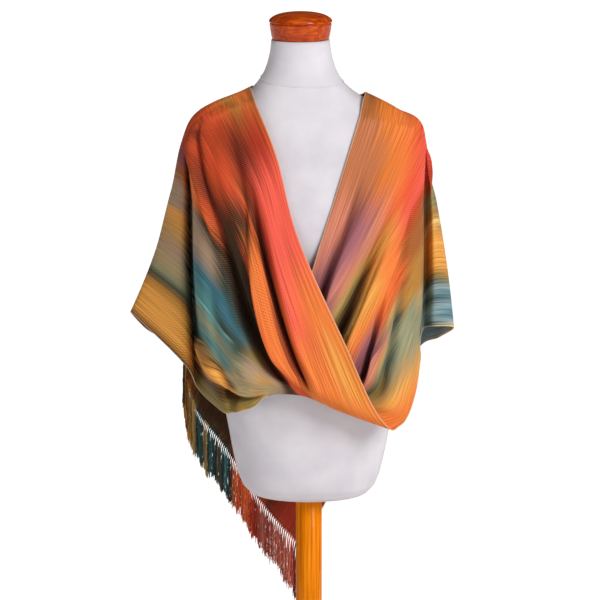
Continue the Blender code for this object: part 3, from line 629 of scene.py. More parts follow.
# The dyer's chart: at places along the warp in cm, the dyes across it, each after the share of the width
# where it is purest. The row at 177 is the cloth's end, and that at 181 is for the fringe's loose ends.
# The chart is partly painted shade: darker colours are set where the drape lies in shade, in the fold
# troughs and creases, the wing's valley, the back panel's inner face and the fringe.
DYE_AND_SHADE_CHART = {
    0: "0 brown, .1 orange, .22 brick, .38 maroon, .5 taupe, .6 ochre, .7 tan, .8 forest, .86 ochre, "
       ".97 gold, 1 brick",
    21: "0 brown, .04 orange, .08 ochre, .12 rust, .18 brick, .28 brick, .36 plum, .42 brown, .47 taupe, "
        ".52 taupe, .56 gold, .62 tan, .67 taupe, .73 beige, .77 sage, .795 forest, .83 ochre, .88 gold, "
        ".97 gold, 1 umber",
    # Row 23 lies in the valley between the wing and the front panel: its near-black from .28 to .96 is
    # painted shade.
    23: "0 brown, .04 orange, .07 brown, .1 rust, .17 vermilion, .2 brick, .225 brick, .25 maroon, "
        ".28 walnut, .34 walnut, .96 walnut, 1 olive",
    # The maroon at .235 lies in the crease under the shoulder's cone and the umber near .95 in the crease
    # above the hem: painted shade.
    26: "0 brown, .035 orange, .07 ochre, .1 rust, .15 vermilion, .2 brick, .235 maroon, .27 brick, "
        ".32 brick, .37 orange, .45 orange, .49 taupe, .57 taupe, .63 blue, .71 teal, .722 teal, .728 mint, "
        ".734 teal, .77 sage, .82 teal, .85 forest, .875 gold, .93 gold, .95 umber, 1 olive",
    # The maroon near .1 and .31 lies in creases and the near-black from .47 in the shoulder's trough: painted
    # shade.
    35: "0 rust, .03 crimson, .06 crimson, .1 maroon, .14 maroon, .18 brick, .22 vermilion, .27 brick, "
        ".31 maroon, .35 maroon, .39 brick, .43 rust, .47 walnut, .53 taupe, .57 taupe, .62 blue, .7 teal, "
        ".719 teal, .725 mint, .731 teal, .77 sage, .83 teal, .86 sage, .88 umber, .9 gold, .935 gold, "
        ".955 umber, 1 olive",
    # From 41 to 65 the maroon, umber and near-black near .15 to .2 lie in the band crease: painted shade. The
    # near-black and umber from about .3 to .6 lie in the trough beside the vermilion ridge: painted shade;
    # the forest beside them is partly so.
    41: "0 coral, .06 coral, .115 coral, .14 crimson, .165 maroon, .185 umber, .2 rust, .215 maroon, "
        ".24 umber, .28 walnut, .5 walnut, .57 forest, .61 blue, .66 blue, .7 forest, .713 forest, "
        ".72 mint, .727 teal, .78 sage, .84 teal, .88 beige, .915 umber, .93 gold, .955 umber, 1 olive",
    47: "0 coral, .06 coral, .12 coral, .14 crimson, .16 maroon, .18 walnut, .195 maroon, .21 orange, "
        ".27 orange, .3 vermilion, .325 walnut, .56 walnut, .61 forest, .66 blue, .7 forest, .74 forest, "
        ".78 sage, .85 beige, .94 beige, .97 olive, 1 ochre",
    53: "0 orange, .05 orange, .12 coral, .15 rust, .175 walnut, .2 maroon, .225 orange, .28 rust, "
        ".33 vermilion, .365 walnut, .54 walnut, .62 umber, .7 olive, .76 taupe, .85 beige, .94 beige, "
        ".97 olive, 1 olive",
    59: "0 amber, .03 gold, .07 orange, .12 orange, .15 rust, .175 maroon, .2 maroon, .235 orange, "
        ".29 rust, .34 vermilion, .4 brick, .48 umber, .62 umber, .72 taupe, .78 tan, .86 beige, .94 tan, "
        "1 olive",
    65: "0 orange, .04 orange, .08 amber, .12 orange, .17 amber, .24 brick, .34 vermilion, .45 umber, "
        ".62 umber, .75 taupe, .88 beige, 1 beige",
    # From 72 to 86 the umber near .63 to .69 lies in the olive trough: painted shade. The plum near .4 and
    # .88 lies in the plum and mauve troughs: partly the cloth's own colour and partly painted shade.
    72: "0 amber, .06 orange, .13 gold, .2 tan, .26 olive, .3 forest, .345 rose, .4 plum, .48 mauve, "
        ".52 orange, .6 gold, .66 umber, .74 olive, .82 mauve, .9 plum, 1 rose",
    79: "0 orange, .08 gold, .14 tan, .2 sage, .24 forest, .29 sage, .32 tan, .34 rose, .37 plum, .43 plum, "
        ".49 mauve, .515 orange, .57 gold, .615 straw, .635 umber, .675 umber, .7 olive, .73 straw, "
        ".77 mauve, .85 plum, .92 maroon, 1 plum",
    86: "0 gold, .05 tan, .1 beige, .16 sage, .26 sage, .3 forest, .345 sage, .38 tan, .41 rust, "
        ".48 orange, .55 gold, .645 gold, .665 umber, .69 umber, .71 olive, .74 tan, .78 rose, .84 mauve, "
        ".9 plum, .96 mauve, 1 rose",
    92: "0 gold, .05 beige, .1 sage, .25 sage, .29 ochre, .33 ochre, .37 brown, .42 rust, .5 orange, "
        ".6 orange, .68 gold, .72 brown, .76 rose, .82 mauve, .88 plum, .94 rose, 1 rose",
    98: "0 beige, .06 sage, .17 sage, .22 beige, .27 ochre, .38 ochre, .43 brown, .5 brown, .56 brick, "
        ".61 coral, .7 vermilion, .77 orange, .84 amber, .89 clay, .95 clay, 1 clay",
    104: "0 beige, .05 forest, .1 sage, .2 beige, .26 ochre, .36 ochre, .43 brown, .52 brown, .57 brick, "
         ".62 coral, .71 coral, .77 vermilion, .83 orange, .9 amber, .95 clay, 1 clay",
    109: "0 forest, .06 steel, .11 forest, .15 steel, .18 forest, .22 ochre, .3 gold, .37 gold, .405 straw, "
         ".43 ochre, .49 sage, .545 brown, .58 crimson, .71 coral, .77 vermilion, .84 orange, .92 amber, "
         ".97 brown, 1 brown",
    114: "0 straw, .012 steel, .05 blue, .08 steel, .12 blue, .15 steel, .185 olive, .22 gold, .28 gold, "
         ".35 gold, .38 ochre, .405 straw, .43 ochre, .46 olive, .53 olive, .56 brick, .62 crimson, "
         ".72 coral, .78 vermilion, .86 orange, .93 amber, .97 brown, 1 brown",
    130: "0 steel, .12 teal, .2 olive, .3 gold, .42 ochre, .52 olive, .62 brick, .75 vermilion, .88 orange, "
         "1 brown",
    # At 150 and 177 the umber lies on the back panel's inner face, in the torso's shade: painted shade.
    150: "0 crimson, .12 maroon, .22 brick, .34 rust, .46 umber, .55 brown, .62 forest, .7 umber, .8 ochre, "
         ".88 umber, 1 umber",
    177: "0 maroon, .12 crimson, .22 maroon, .32 rust, .42 brick, .5 umber, .58 umber, .66 umber, "
         ".76 umber, .84 brown, .92 umber, 1 umber",
    # In the fringe row the near-black is painted shade of yarns hanging in the torso's shade, and the rose
    # stripes between the crimson are partly painted highlight on the yarns.
    181: "0 maroon, .04 crimson, .08 rose, .11 crimson, .15 rose, .19 crimson, .23 rose, .27 crimson, "
         ".31 vermilion, .36 orange, .4 vermilion, .44 orange, .475 walnut, .5 teal, .53 forest, "
         ".555 beige, .57 forest, .6 teal, .625 forest, .65 straw, .665 forest, .7 teal, .72 walnut, "
         ".76 straw, .8 olive, .84 gold, .88 umber, .92 gold, .96 ochre, 1 umber",
}

# Dyed warp, a group shared by the cloth, its selvedges and the fringe: the dye at a share of the width and a
# place along in metres, with the chart's painted shade. The dyes run along the threads, so each edge between
# two is ragged along the warp.
THREADS_WIDE = 1.7 * MM             # a group of threads that took the dye alike
THREADS_LONG = 170.0 * MM           # over which that group keeps its shift
DYE_RUN = 18.0 * MM                 # that the dye runs along the warp, each way
DYE_STRAY = 0.022                   # share of the width by which the odd group strays into the next stripe
DYE_WANDER = 0.004                  # share of the width by which a whole stripe wanders
WANDERS_ACROSS = 9.0                # wanders in the width of the strip
NOISE_RANGE = {"From Min": 0.3, "From Max": 0.7}    # where most of a noise's values lie
dyed_warp_and_shade = bpy.data.node_groups.new("dyed_warp_and_shade", "ShaderNodeTree")
for way, socket_name, kind in (
        ("INPUT", "Share", "Float"), ("INPUT", "Along", "Float"), ("OUTPUT", "Color", "Color")):
    dyed_warp_and_shade.interface.new_socket(name=socket_name, in_out=way, socket_type="NodeSocket" + kind)
given = add_node(dyed_warp_and_shade, "NodeGroupInput").outputs
threads_at = add_node(dyed_warp_and_shade, "ShaderNodeCombineXYZ", {"X": given["Share"], "Y": given["Along"]})
thread_grid = add_node(dyed_warp_and_shade, "ShaderNodeMapping", {
    "Vector": threads_at, "Scale": (STRIP_WIDTH / THREADS_WIDE, 1 / THREADS_LONG, 1.0)})
thread_noise = add_node(dyed_warp_and_shade, "ShaderNodeTexNoise", {
    "Vector": thread_grid, "Scale": 1.0, "Detail": 1.0, "Roughness": 0.6})
thread_parts = add_node(dyed_warp_and_shade, "ShaderNodeSeparateXYZ", [thread_noise.outputs["Color"]]).outputs
run = add_node(dyed_warp_and_shade, "ShaderNodeMapRange", {
    "Value": thread_parts["X"], **NOISE_RANGE, "To Min": -DYE_RUN, "To Max": DYE_RUN})
shifted = add_node(dyed_warp_and_shade, "ShaderNodeMath", [given["Along"], run], operation="ADD")
wander_noise = add_node(dyed_warp_and_shade, "ShaderNodeTexNoise", {
    "Vector": threads_at, "Scale": WANDERS_ACROSS, "Detail": 3.0})
wander = add_node(dyed_warp_and_shade, "ShaderNodeMapRange", {
    "Value": wander_noise, **NOISE_RANGE, "To Min": -DYE_WANDER, "To Max": DYE_WANDER})
# The stray is the noise's distance from its middle, squared with its sign, so that few groups stray far.
stray_off = add_node(dyed_warp_and_shade, "ShaderNodeMath", [thread_parts["Y"], 0.5], operation="SUBTRACT")
stray_size = add_node(dyed_warp_and_shade, "ShaderNodeMath", [stray_off], operation="ABSOLUTE")
stray_share = add_node(dyed_warp_and_shade, "ShaderNodeMath", [stray_off, stray_size], operation="MULTIPLY")
stray = add_node(dyed_warp_and_shade, "ShaderNodeMapRange", {
    "Value": stray_share, "From Min": -0.05, "From Max": 0.05, "To Min": -DYE_STRAY, "To Max": DYE_STRAY})
drift = add_node(dyed_warp_and_shade, "ShaderNodeMath", [stray, wander], operation="ADD")
wandered = add_node(dyed_warp_and_shade, "ShaderNodeMath", [given["Share"], drift], operation="ADD")
blended, last_place = None, None
for chart_place, stripes in DYE_AND_SHADE_CHART.items():
    stops = [stripe.split() for stripe in stripes.split(", ")]
    stripe_ramp = add_node(dyed_warp_and_shade, "ShaderNodeValToRGB", [wandered])
    set_ramp(stripe_ramp, [(float(share), DYES[dye]) for share, dye in stops])
    if last_place is None:
        blended = stripe_ramp
    else:
        reached = add_node(dyed_warp_and_shade, "ShaderNodeMapRange", {
            "Value": shifted, "From Min": last_place * CM, "From Max": chart_place * CM},
            interpolation_type="SMOOTHSTEP")
        blended = add_node(dyed_warp_and_shade, "ShaderNodeMix", {0: reached, 6: blended, 7: stripe_ramp},
                           data_type="RGBA").outputs[2]
    last_place = chart_place
add_node(dyed_warp_and_shade, "NodeGroupOutput", {"Color": blended})


def warp_dye_and_shade(tree):
    """The cloth's warp map, its two parts (across and along, in metres) and the dye there, with its painted
    shade.
    """
    warp_map = add_node(tree, "ShaderNodeUVMap", uv_map="warp")
    parts = add_node(tree, "ShaderNodeSeparateXYZ", [warp_map]).outputs
    share = add_node(tree, "ShaderNodeMath", [parts["X"], STRIP_WIDTH], operation="DIVIDE")
    dye = add_node(tree, "ShaderNodeGroup", {"Share": share, "Along": parts["Y"]}, node_tree=dyed_warp_and_shade)
    return warp_map, parts, dye


# Rayon twill, spun and dyed by hand and woven on a treadle loom: soft, with a low silky sheen. Threads take
# the dye unevenly. The real twill line is about 1.2 mm, too fine to show, and is drawn 3.4 mm apart.
TWILL_PITCH = 3.4 * MM
TWILL_STRAY = 1.5                   # how far, in radians, a yarn shifts the twill line
YARN_PITCH = 1.6 * MM
YARN_EVEN = 90 * MM                 # along which a yarn keeps its tone
WEFT = "#C49664"                    # undyed tan weft that shows between the warp floats
WEFT_SHOWS = 0.15
SINE_RANGE = {"From Min": -1.0, "From Max": 1.0}
rayon, tree, shader = new_material(
    "hand_dyed_rayon_twill", Roughness=0.65, Sheen_Weight=0.03, Sheen_Roughness=0.4, Specular_IOR_Level=0.12)
# The dye here carries the chart's painted shade in fold troughs, creases, the wing's valley and the inner
# back.
warp_map, warp_at, dye = warp_dye_and_shade(tree)
yarn_grid = add_node(tree, "ShaderNodeMapping", {
    "Vector": warp_map, "Scale": (1 / YARN_PITCH, 1 / YARN_EVEN, 1.0)})
yarn_noise = add_node(tree, "ShaderNodeTexNoise", {
    "Vector": yarn_grid, "Scale": 1.0, "Detail": 1.0, "Roughness": 0.6})
yarn_value = add_node(tree, "ShaderNodeMapRange", {
    "Value": yarn_noise, **NOISE_RANGE, "To Min": 0.70, "To Max": 1.30})
diagonal = add_node(tree, "ShaderNodeMath", [warp_at["X"], warp_at["Y"]], operation="ADD")
twill_turns = add_node(tree, "ShaderNodeMath", [diagonal, 2 * math.pi / TWILL_PITCH], operation="MULTIPLY")
twill_strays = add_node(tree, "ShaderNodeMath", [yarn_noise, TWILL_STRAY, twill_turns],
                        operation="MULTIPLY_ADD")
twill = add_node(tree, "ShaderNodeMath", [twill_strays], operation="SINE")
twill_value = add_node(tree, "ShaderNodeMapRange", {
    "Value": twill, **SINE_RANGE, "To Min": 0.82, "To Max": 1.08})
value = add_node(tree, "ShaderNodeMath", [yarn_value, twill_value], operation="MULTIPLY")
yarn_tone = add_node(tree, "ShaderNodeHueSaturation", {"Value": value, "Color": dye})
weft_shows = add_node(tree, "ShaderNodeMapRange", {
    "Value": twill, "From Min": 0.1, "From Max": 1.0, "To Min": 0.0, "To Max": WEFT_SHOWS})
cloth_tone = add_node(tree, "ShaderNodeMix", {0: weft_shows, 6: yarn_tone, 7: linear(WEFT)}, data_type="RGBA")
tree.links.new(cloth_tone.outputs[2], shader.inputs["Base Color"])
thread_height = add_node(tree, "ShaderNodeMath", [twill, 0.5, yarn_noise], operation="MULTIPLY_ADD")
raised = add_node(tree, "ShaderNodeBump", {"Height": thread_height, "Strength": 0.4, "Distance": 0.4 * MM})
tree.links.new(raised.outputs["Normal"], shader.inputs["Normal"])

poncho = add_piece("poncho_strip", cloth_mesh, rayon)
finish_piece(poncho, "poncho_weave", "poncho_cloth")

# Selvedges: the outermost warp ends, packed closer than the rest, so each long edge of the strip is a firm
# thin cord. Their colour is mixed towards cream: partly pale yarn and partly a painted highlight along the
# edge.
SELVEDGE_RADIUS = 1.0 * MM
selvedge_yarn, tree, shader = new_material("pale_selvedge_and_highlight", Roughness=0.6, Sheen_Weight=0.15)
dye = warp_dye_and_shade(tree)[2]
# Mixed towards cream: partly pale yarn, partly painted highlight along the edge.
pale = add_node(tree, "ShaderNodeMix", {0: 0.45, 6: dye, 7: linear("#E2C8A8")}, data_type="RGBA")
tree.links.new(pale.outputs[2], shader.inputs["Base Color"])


def edge_tube(name, column, radius):
    """A tube along one long edge of the strip, with the cloth's own warp map."""
    line = cloth_points[:, column]
    mesh = tube_mesh(name, line.tolist(), radius, fineness=2)
    coords = np.zeros(len(mesh.vertices) * 3)
    mesh.vertices.foreach_get("co", coords)
    nearest = np.array([np.argmin(((line - point) ** 2).sum(axis=1)) for point in coords.reshape(-1, 3)])
    places = np.stack([along[nearest] * CM, np.full(len(nearest), across[column] * STRIP_WIDTH)], axis=1)
    write_warp_map(mesh, places)
    return mesh


neck_selvedge = add_piece("neck_selvedge", edge_tube("neck_selvedge", 0, SELVEDGE_RADIUS), selvedge_yarn)
outer_selvedge = add_piece("outer_selvedge", edge_tube("outer_selvedge", CLOTH_COLUMNS - 1, SELVEDGE_RADIUS),
                           selvedge_yarn)
for selvedge in (neck_selvedge, outer_selvedge):
    finish_piece(selvedge, "poncho_weave")

# Seam at the back: the strip's plain end lies under the selvedge next to the fringed end and is whipped to
# it by hand with cotton thread, one slanting stitch every 7 mm from the nape to behind the left wing.
STITCH_PITCH = 7.0 * MM
STITCH_SLANT = 0.35                 # of its reach across that a stitch goes along
SEAM_FROM, SEAM_TO = 130.0, 173.0   # cm along the strip
STITCH_SIZES = {"Reach": (-3.5 * MM, 0.0, -0.6 * MM), "Rise": (0.6 * MM, 0.0, 2.2 * MM),
                "Drop": (2.8 * MM, 0.0, -3.2 * MM), "Thread radius": 0.45 * MM}


def point_mesh(name, points, attributes):
    """A mesh of loose points that carry vectors or numbers."""
    mesh = bpy.data.meshes.new(name)
    mesh.from_pydata(points.tolist(), [], [])
    for attribute_name, values in attributes.items():
        values = np.asarray(values, np.float32)
        kind, field = ("FLOAT_VECTOR", "vector") if values.ndim == 2 else ("FLOAT", "value")
        mesh.attributes.new(attribute_name, kind, "POINT").data.foreach_set(field, values.ravel())
    return mesh


def new_geometry_tree(name, kinds):
    """A geometry tree with its named inputs: the tree, the inputs' identifiers and their sockets in it."""
    tree = bpy.data.node_groups.new(name, "GeometryNodeTree")
    identifiers = {}
    for input_name, kind in kinds.items():
        socket = tree.interface.new_socket(name=input_name, in_out="INPUT", socket_type="NodeSocket" + kind)
        identifiers[input_name] = socket.identifier
    tree.interface.new_socket(name="Geometry", in_out="OUTPUT", socket_type="NodeSocketGeometry")
    return tree, identifiers, add_node(tree, "NodeGroupInput").outputs


def grow_piece(piece, tree, identifiers, sizes):
    """Run a geometry tree on a piece and leave the result as its plain mesh."""
    maker = piece.modifiers.new(tree.name, "NODES")
    maker.node_group = tree
    for input_name, size in sizes.items():
        maker[identifiers[input_name]] = size
    grown = plain_mesh(piece)
    piece.modifiers.clear()
    piece.data = grown


seam_rows = (along >= SEAM_FROM) & (along <= SEAM_TO)
seam_line = cloth_points[seam_rows, -1]
seam_lengths = path_lengths(seam_line)
stitch_places = np.arange(STITCH_PITCH / 2, seam_lengths[-1], STITCH_PITCH)
stitch_spots = smooth_curve(seam_lengths, seam_line, stitch_places)
stitch_across = smooth_curve(seam_lengths, outer_way[seam_rows, -1], stitch_places)
stitch_out = smooth_curve(seam_lengths, faces_out[seam_rows, -2], stitch_places)
stitch_slant = stitch_across + STITCH_SLANT * np.gradient(stitch_spots, axis=0) / STITCH_PITCH
stitch_base = point_mesh("seam_stitches", stitch_spots + stitch_out * CLOTH_THICKNESS / 2,
                         {"slant": stitch_slant, "out": stitch_out})
stitch_tree, stitch_inputs, given = new_geometry_tree("whip_stitches", {
    "Geometry": "Geometry", "Reach": "Vector", "Rise": "Vector", "Drop": "Vector", "Thread radius": "Float",
    "Material": "Material"})
stitch_points = add_node(stitch_tree, "GeometryNodeMeshToPoints", {"Mesh": given["Geometry"]})
stitch_arc = add_node(stitch_tree, "GeometryNodeCurveQuadraticBezier", {
    "Resolution": 6, "Start": given["Reach"], "Middle": given["Rise"], "End": given["Drop"]})
thread_round = add_node(stitch_tree, "GeometryNodeCurvePrimitiveCircle", {
    "Resolution": 5, "Radius": given["Thread radius"]})
stitch = add_node(stitch_tree, "GeometryNodeCurveToMesh", {
    "Curve": stitch_arc, "Profile Curve": thread_round, "Fill Caps": True})
out_way = add_node(stitch_tree, "GeometryNodeInputNamedAttribute", {"Name": "out"}, data_type="FLOAT_VECTOR")
slant_way = add_node(stitch_tree, "GeometryNodeInputNamedAttribute", {"Name": "slant"},
                     data_type="FLOAT_VECTOR")
stood_up = add_node(stitch_tree, "FunctionNodeAlignRotationToVector", {"Vector": out_way}, axis="Z")
turned_way = add_node(stitch_tree, "FunctionNodeAlignRotationToVector", {
    "Rotation": stood_up, "Vector": slant_way}, axis="X", pivot_axis="Z")
sewn = add_node(stitch_tree, "GeometryNodeInstanceOnPoints", {
    "Points": stitch_points, "Instance": stitch, "Rotation": turned_way})
sewn_real = add_node(stitch_tree, "GeometryNodeRealizeInstances", {"Geometry": sewn})
sewn_coloured = add_node(stitch_tree, "GeometryNodeSetMaterial", {
    "Geometry": sewn_real, "Material": given["Material"]})
add_node(stitch_tree, "NodeGroupOutput", {"Geometry": sewn_coloured})

# Cotton sewing thread, two-ply and waxed: brown, a little darker where the plies meet, with a dull sheen.
PLY_LENGTH = 0.8 * MM
sewing_thread, tree, shader = new_material("waxed_cotton_thread", Roughness=0.55, Sheen_Weight=0.1)
place = add_node(tree, "ShaderNodeTexCoord").outputs["Object"]
plies = add_node(tree, "ShaderNodeTexNoise", {"Vector": place, "Scale": 1 / PLY_LENGTH, "Detail": 2.0})
ply_tone = add_node(tree, "ShaderNodeMix", {0: plies, 6: linear("#4A2612"), 7: linear("#8A5428")},
                    data_type="RGBA")
tree.links.new(ply_tone.outputs[2], shader.inputs["Base Color"])

seam = add_piece("seam_stitches", stitch_base)
grow_piece(seam, stitch_tree, stitch_inputs, {**STITCH_SIZES, "Material": sewing_thread})
finish_piece(seam, "poncho_weave")

# Fringe: the loose warp ends past the last weft, knotted in small bundles. Above each knot the ends run
# together and leave a slit to the next bundle. Below it they hang, crinkled and uneven in length.
BUNDLES = 92
FRINGE_LENGTH = 8.6 * CM
CORNER_LENGTH = 10.6 * CM           # of the bundles at the tail's corner
CORNER_SHARE = 0.14                 # of the end's width over which they shorten to the rest
BUNDLE_UNEVEN = (0.88, 1.04)        # of its length, from bundle to bundle
YARN_BEND = 0.10                    # share of its length over which a yarn bends down
YARN_POINTS = 14
YARN_DYES_AT = 181.0 * CM           # the dye chart's row for the loose ends
YARNS_APART = 17.0                  # between the numbers of two bundles' yarns, so that none is the same
CRINKLE_STEPS = (7.0, 3.7, 0.13)    # of the crinkle along a yarn, from yarn to yarn and from bundle to bundle
KNOT_SHAPE = (2.3, 2.3, 3.2)        # times the yarn's radius
fringe_rng = np.random.default_rng(7)
end_edge = cloth_points[-1]
leave_all = cloth_points[-1] - cloth_points[-3]
leave_all /= np.linalg.norm(leave_all, axis=1, keepdims=True)
edge_lengths = path_lengths(end_edge)
bundle_pitch = edge_lengths[-1] / BUNDLES
bundle_places = (np.arange(BUNDLES) + 0.5) * bundle_pitch
bundle_shares = bundle_places / edge_lengths[-1]
bundle_roots = smooth_curve(edge_lengths, end_edge, bundle_places)
bundle_leaves = smooth_curve(edge_lengths, leave_all, bundle_places)
bundle_edges = np.gradient(bundle_roots, axis=0)
bundle_edges /= np.linalg.norm(bundle_edges, axis=1, keepdims=True)
bundle_reaches = (np.interp(bundle_shares, [0.0, CORNER_SHARE], [CORNER_LENGTH, FRINGE_LENGTH])
                  * fringe_rng.uniform(*BUNDLE_UNEVEN, BUNDLES))
fringe_base = point_mesh("poncho_fringe_yarns", bundle_roots, {
    "leave": bundle_leaves, "edge": bundle_edges, "face": np.cross(bundle_leaves, bundle_edges),
    "share": bundle_shares, "reach": bundle_reaches, "bundle": np.arange(BUNDLES)})
FRINGE_SIZES = {"Yarns": 10, "Pitch": bundle_pitch, "Knot drop": 3.5 * MM, "Yarn radius": 0.55 * MM,
                "Crinkle": 5.0 * MM, "Seed": 11}
fringe_tree, fringe_inputs, given = new_geometry_tree("knotted_fringe", {
    "Geometry": "Geometry", "Yarns": "Int", "Pitch": "Float", "Knot drop": "Float", "Yarn radius": "Float",
    "Crinkle": "Float", "Seed": "Int", "Material": "Material"})
spots = add_node(fringe_tree, "GeometryNodeMeshToPoints", {"Mesh": given["Geometry"]})
copies = add_node(fringe_tree, "GeometryNodeDuplicateElements", {"Geometry": spots, "Amount": given["Yarns"]},
                  domain="POINT")
marked = add_node(fringe_tree, "GeometryNodeStoreNamedAttribute", {
    "Geometry": copies, "Name": "yarn", "Value": copies.outputs["Duplicate Index"]}, data_type="FLOAT")
straight = add_node(fringe_tree, "GeometryNodeCurvePrimitiveLine", {"Start": (0, 0, 0), "End": (0, 0, -1.0)})
fine_line = add_node(fringe_tree, "GeometryNodeResampleCurve", {"Curve": straight, "Count": YARN_POINTS})
placed = add_node(fringe_tree, "GeometryNodeInstanceOnPoints", {"Points": marked, "Instance": fine_line})
yarns = add_node(fringe_tree, "GeometryNodeRealizeInstances", {"Geometry": placed})
carried = {}
for attribute_name in ("leave", "edge", "face", "reach", "bundle", "yarn"):
    kind = "FLOAT_VECTOR" if attribute_name in ("leave", "edge", "face") else "FLOAT"
    carried[attribute_name] = add_node(fringe_tree, "GeometryNodeInputNamedAttribute", {
        "Name": attribute_name}, data_type=kind)


def hanging(tree, t, reach):
    """How far a yarn has gone from its root at share t of its length: out along the warp, then down."""
    turned = add_node(tree, "ShaderNodeMath", [t, -YARN_BEND], operation="DIVIDE")
    straightened = add_node(tree, "ShaderNodeMath", [turned], operation="EXPONENT")
    bending = add_node(tree, "ShaderNodeMath", [1.0, straightened], operation="SUBTRACT")
    bent = add_node(tree, "ShaderNodeMath", [bending, YARN_BEND], operation="MULTIPLY")
    out_reach = add_node(tree, "ShaderNodeMath", [bent, reach], operation="MULTIPLY")
    fallen = add_node(tree, "ShaderNodeMath", [t, bent], operation="SUBTRACT")
    fall_reach = add_node(tree, "ShaderNodeMath", [fallen, reach], operation="MULTIPLY")
    out = add_node(tree, "ShaderNodeVectorMath", {0: carried["leave"], 3: out_reach}, operation="SCALE")
    fall = add_node(tree, "ShaderNodeVectorMath", {0: (0.0, 0.0, -1.0), 3: fall_reach}, operation="SCALE")
    return add_node(tree, "ShaderNodeVectorMath", [out, fall], operation="ADD")


t = add_node(fringe_tree, "GeometryNodeSplineParameter").outputs["Factor"]
here = add_node(fringe_tree, "GeometryNodeInputPosition")
gone_down = add_node(fringe_tree, "ShaderNodeVectorMath", {0: (0.0, 0.0, 1.0), 3: t}, operation="SCALE")
root = add_node(fringe_tree, "ShaderNodeVectorMath", [here, gone_down], operation="ADD")
yarn_id = add_node(fringe_tree, "ShaderNodeMath", [carried["bundle"], YARNS_APART, carried["yarn"]],
                   operation="MULTIPLY_ADD")
seeded_id = add_node(fringe_tree, "ShaderNodeMath", [yarn_id, given["Seed"]], operation="ADD")
uneven = add_node(fringe_tree, "ShaderNodeTexWhiteNoise", {"W": seeded_id}, noise_dimensions="1D")
uneven_parts = add_node(fringe_tree, "ShaderNodeSeparateXYZ", [uneven.outputs["Color"]]).outputs
reach_share = add_node(fringe_tree, "ShaderNodeMath", [uneven_parts[0], 0.16, 0.90], operation="MULTIPLY_ADD")
yarn_reach = add_node(fringe_tree, "ShaderNodeMath", [carried["reach"], reach_share], operation="MULTIPLY")
knot_share = add_node(fringe_tree, "ShaderNodeMath", [given["Knot drop"], FRINGE_LENGTH], operation="DIVIDE")
# The yarns of a bundle start as wide as its pitch, close in to the knot and spread again below it.
above_knot = add_node(fringe_tree, "ShaderNodeMapRange", {
    "Value": t, "From Min": 0.0, "From Max": knot_share, "To Min": 1.0, "To Max": 0.22})
below_knot = add_node(fringe_tree, "ShaderNodeMapRange", {
    "Value": t, "From Min": knot_share, "From Max": 1.0, "To Min": 0.0, "To Max": 1.5})
spread = add_node(fringe_tree, "ShaderNodeMath", [above_knot, below_knot], operation="ADD")
last_yarn = add_node(fringe_tree, "ShaderNodeMath", [given["Yarns"], 1.0], operation="SUBTRACT")
yarn_share = add_node(fringe_tree, "ShaderNodeMath", [carried["yarn"], last_yarn], operation="DIVIDE")
yarn_side = add_node(fringe_tree, "ShaderNodeMath", [yarn_share, 0.5], operation="SUBTRACT")
side_pitch = add_node(fringe_tree, "ShaderNodeMath", [yarn_side, given["Pitch"]], operation="MULTIPLY")
side_reach = add_node(fringe_tree, "ShaderNodeMath", [side_pitch, spread], operation="MULTIPLY")
yarn_depth = add_node(fringe_tree, "ShaderNodeMath", [uneven_parts[1], 0.5], operation="SUBTRACT")
depth_pitch = add_node(fringe_tree, "ShaderNodeMath", [yarn_depth, given["Pitch"]], operation="MULTIPLY")
face_reach = add_node(fringe_tree, "ShaderNodeMath", [depth_pitch, below_knot], operation="MULTIPLY")
crinkle_at = add_node(fringe_tree, "ShaderNodeCombineXYZ", {"X": t, "Y": yarn_id, "Z": carried["bundle"]})
crinkle_grid = add_node(fringe_tree, "ShaderNodeVectorMath", [crinkle_at, CRINKLE_STEPS],
                        operation="MULTIPLY")
crinkle_noise = add_node(fringe_tree, "ShaderNodeTexNoise", {
    "Vector": crinkle_grid, "Scale": 1.0, "Detail": 2.0})
crinkle_way = add_node(fringe_tree, "ShaderNodeVectorMath", [
    crinkle_noise.outputs["Color"], (-0.5, -0.5, -0.5)], operation="ADD")
past_knot = add_node(fringe_tree, "ShaderNodeMath", [below_knot, 3.0], operation="MULTIPLY")
crinkle_share = add_node(fringe_tree, "ShaderNodeMath", [past_knot, 1.0], operation="MINIMUM")
crinkle_reach = add_node(fringe_tree, "ShaderNodeMath", [given["Crinkle"], crinkle_share],
                         operation="MULTIPLY")
to_side = add_node(fringe_tree, "ShaderNodeVectorMath", {0: carried["edge"], 3: side_reach},
                   operation="SCALE")
to_face = add_node(fringe_tree, "ShaderNodeVectorMath", {0: carried["face"], 3: face_reach},
                   operation="SCALE")
crinkled = add_node(fringe_tree, "ShaderNodeVectorMath", {0: crinkle_way, 3: crinkle_reach},
                    operation="SCALE")
path = root
for step in (hanging(fringe_tree, t, yarn_reach), to_side, to_face, crinkled):
    path = add_node(fringe_tree, "ShaderNodeVectorMath", [path, step], operation="ADD")
hung = add_node(fringe_tree, "GeometryNodeSetPosition", {"Geometry": yarns, "Position": path})
taper = add_node(fringe_tree, "ShaderNodeMapRange", {
    "Value": t, "From Min": 0.75, "From Max": 1.0, "To Min": 1.0, "To Max": 0.45})
sized = add_node(fringe_tree, "GeometryNodeSetCurveRadius", {"Curve": hung, "Radius": taper})
yarn_round = add_node(fringe_tree, "GeometryNodeCurvePrimitiveCircle", {
    "Resolution": 4, "Radius": given["Yarn radius"]})
tubes = add_node(fringe_tree, "GeometryNodeCurveToMesh", {
    "Curve": sized, "Profile Curve": yarn_round, "Fill Caps": True})
knot_ball = add_node(fringe_tree, "GeometryNodeMeshIcoSphere", {"Radius": 1.0, "Subdivisions": 2})
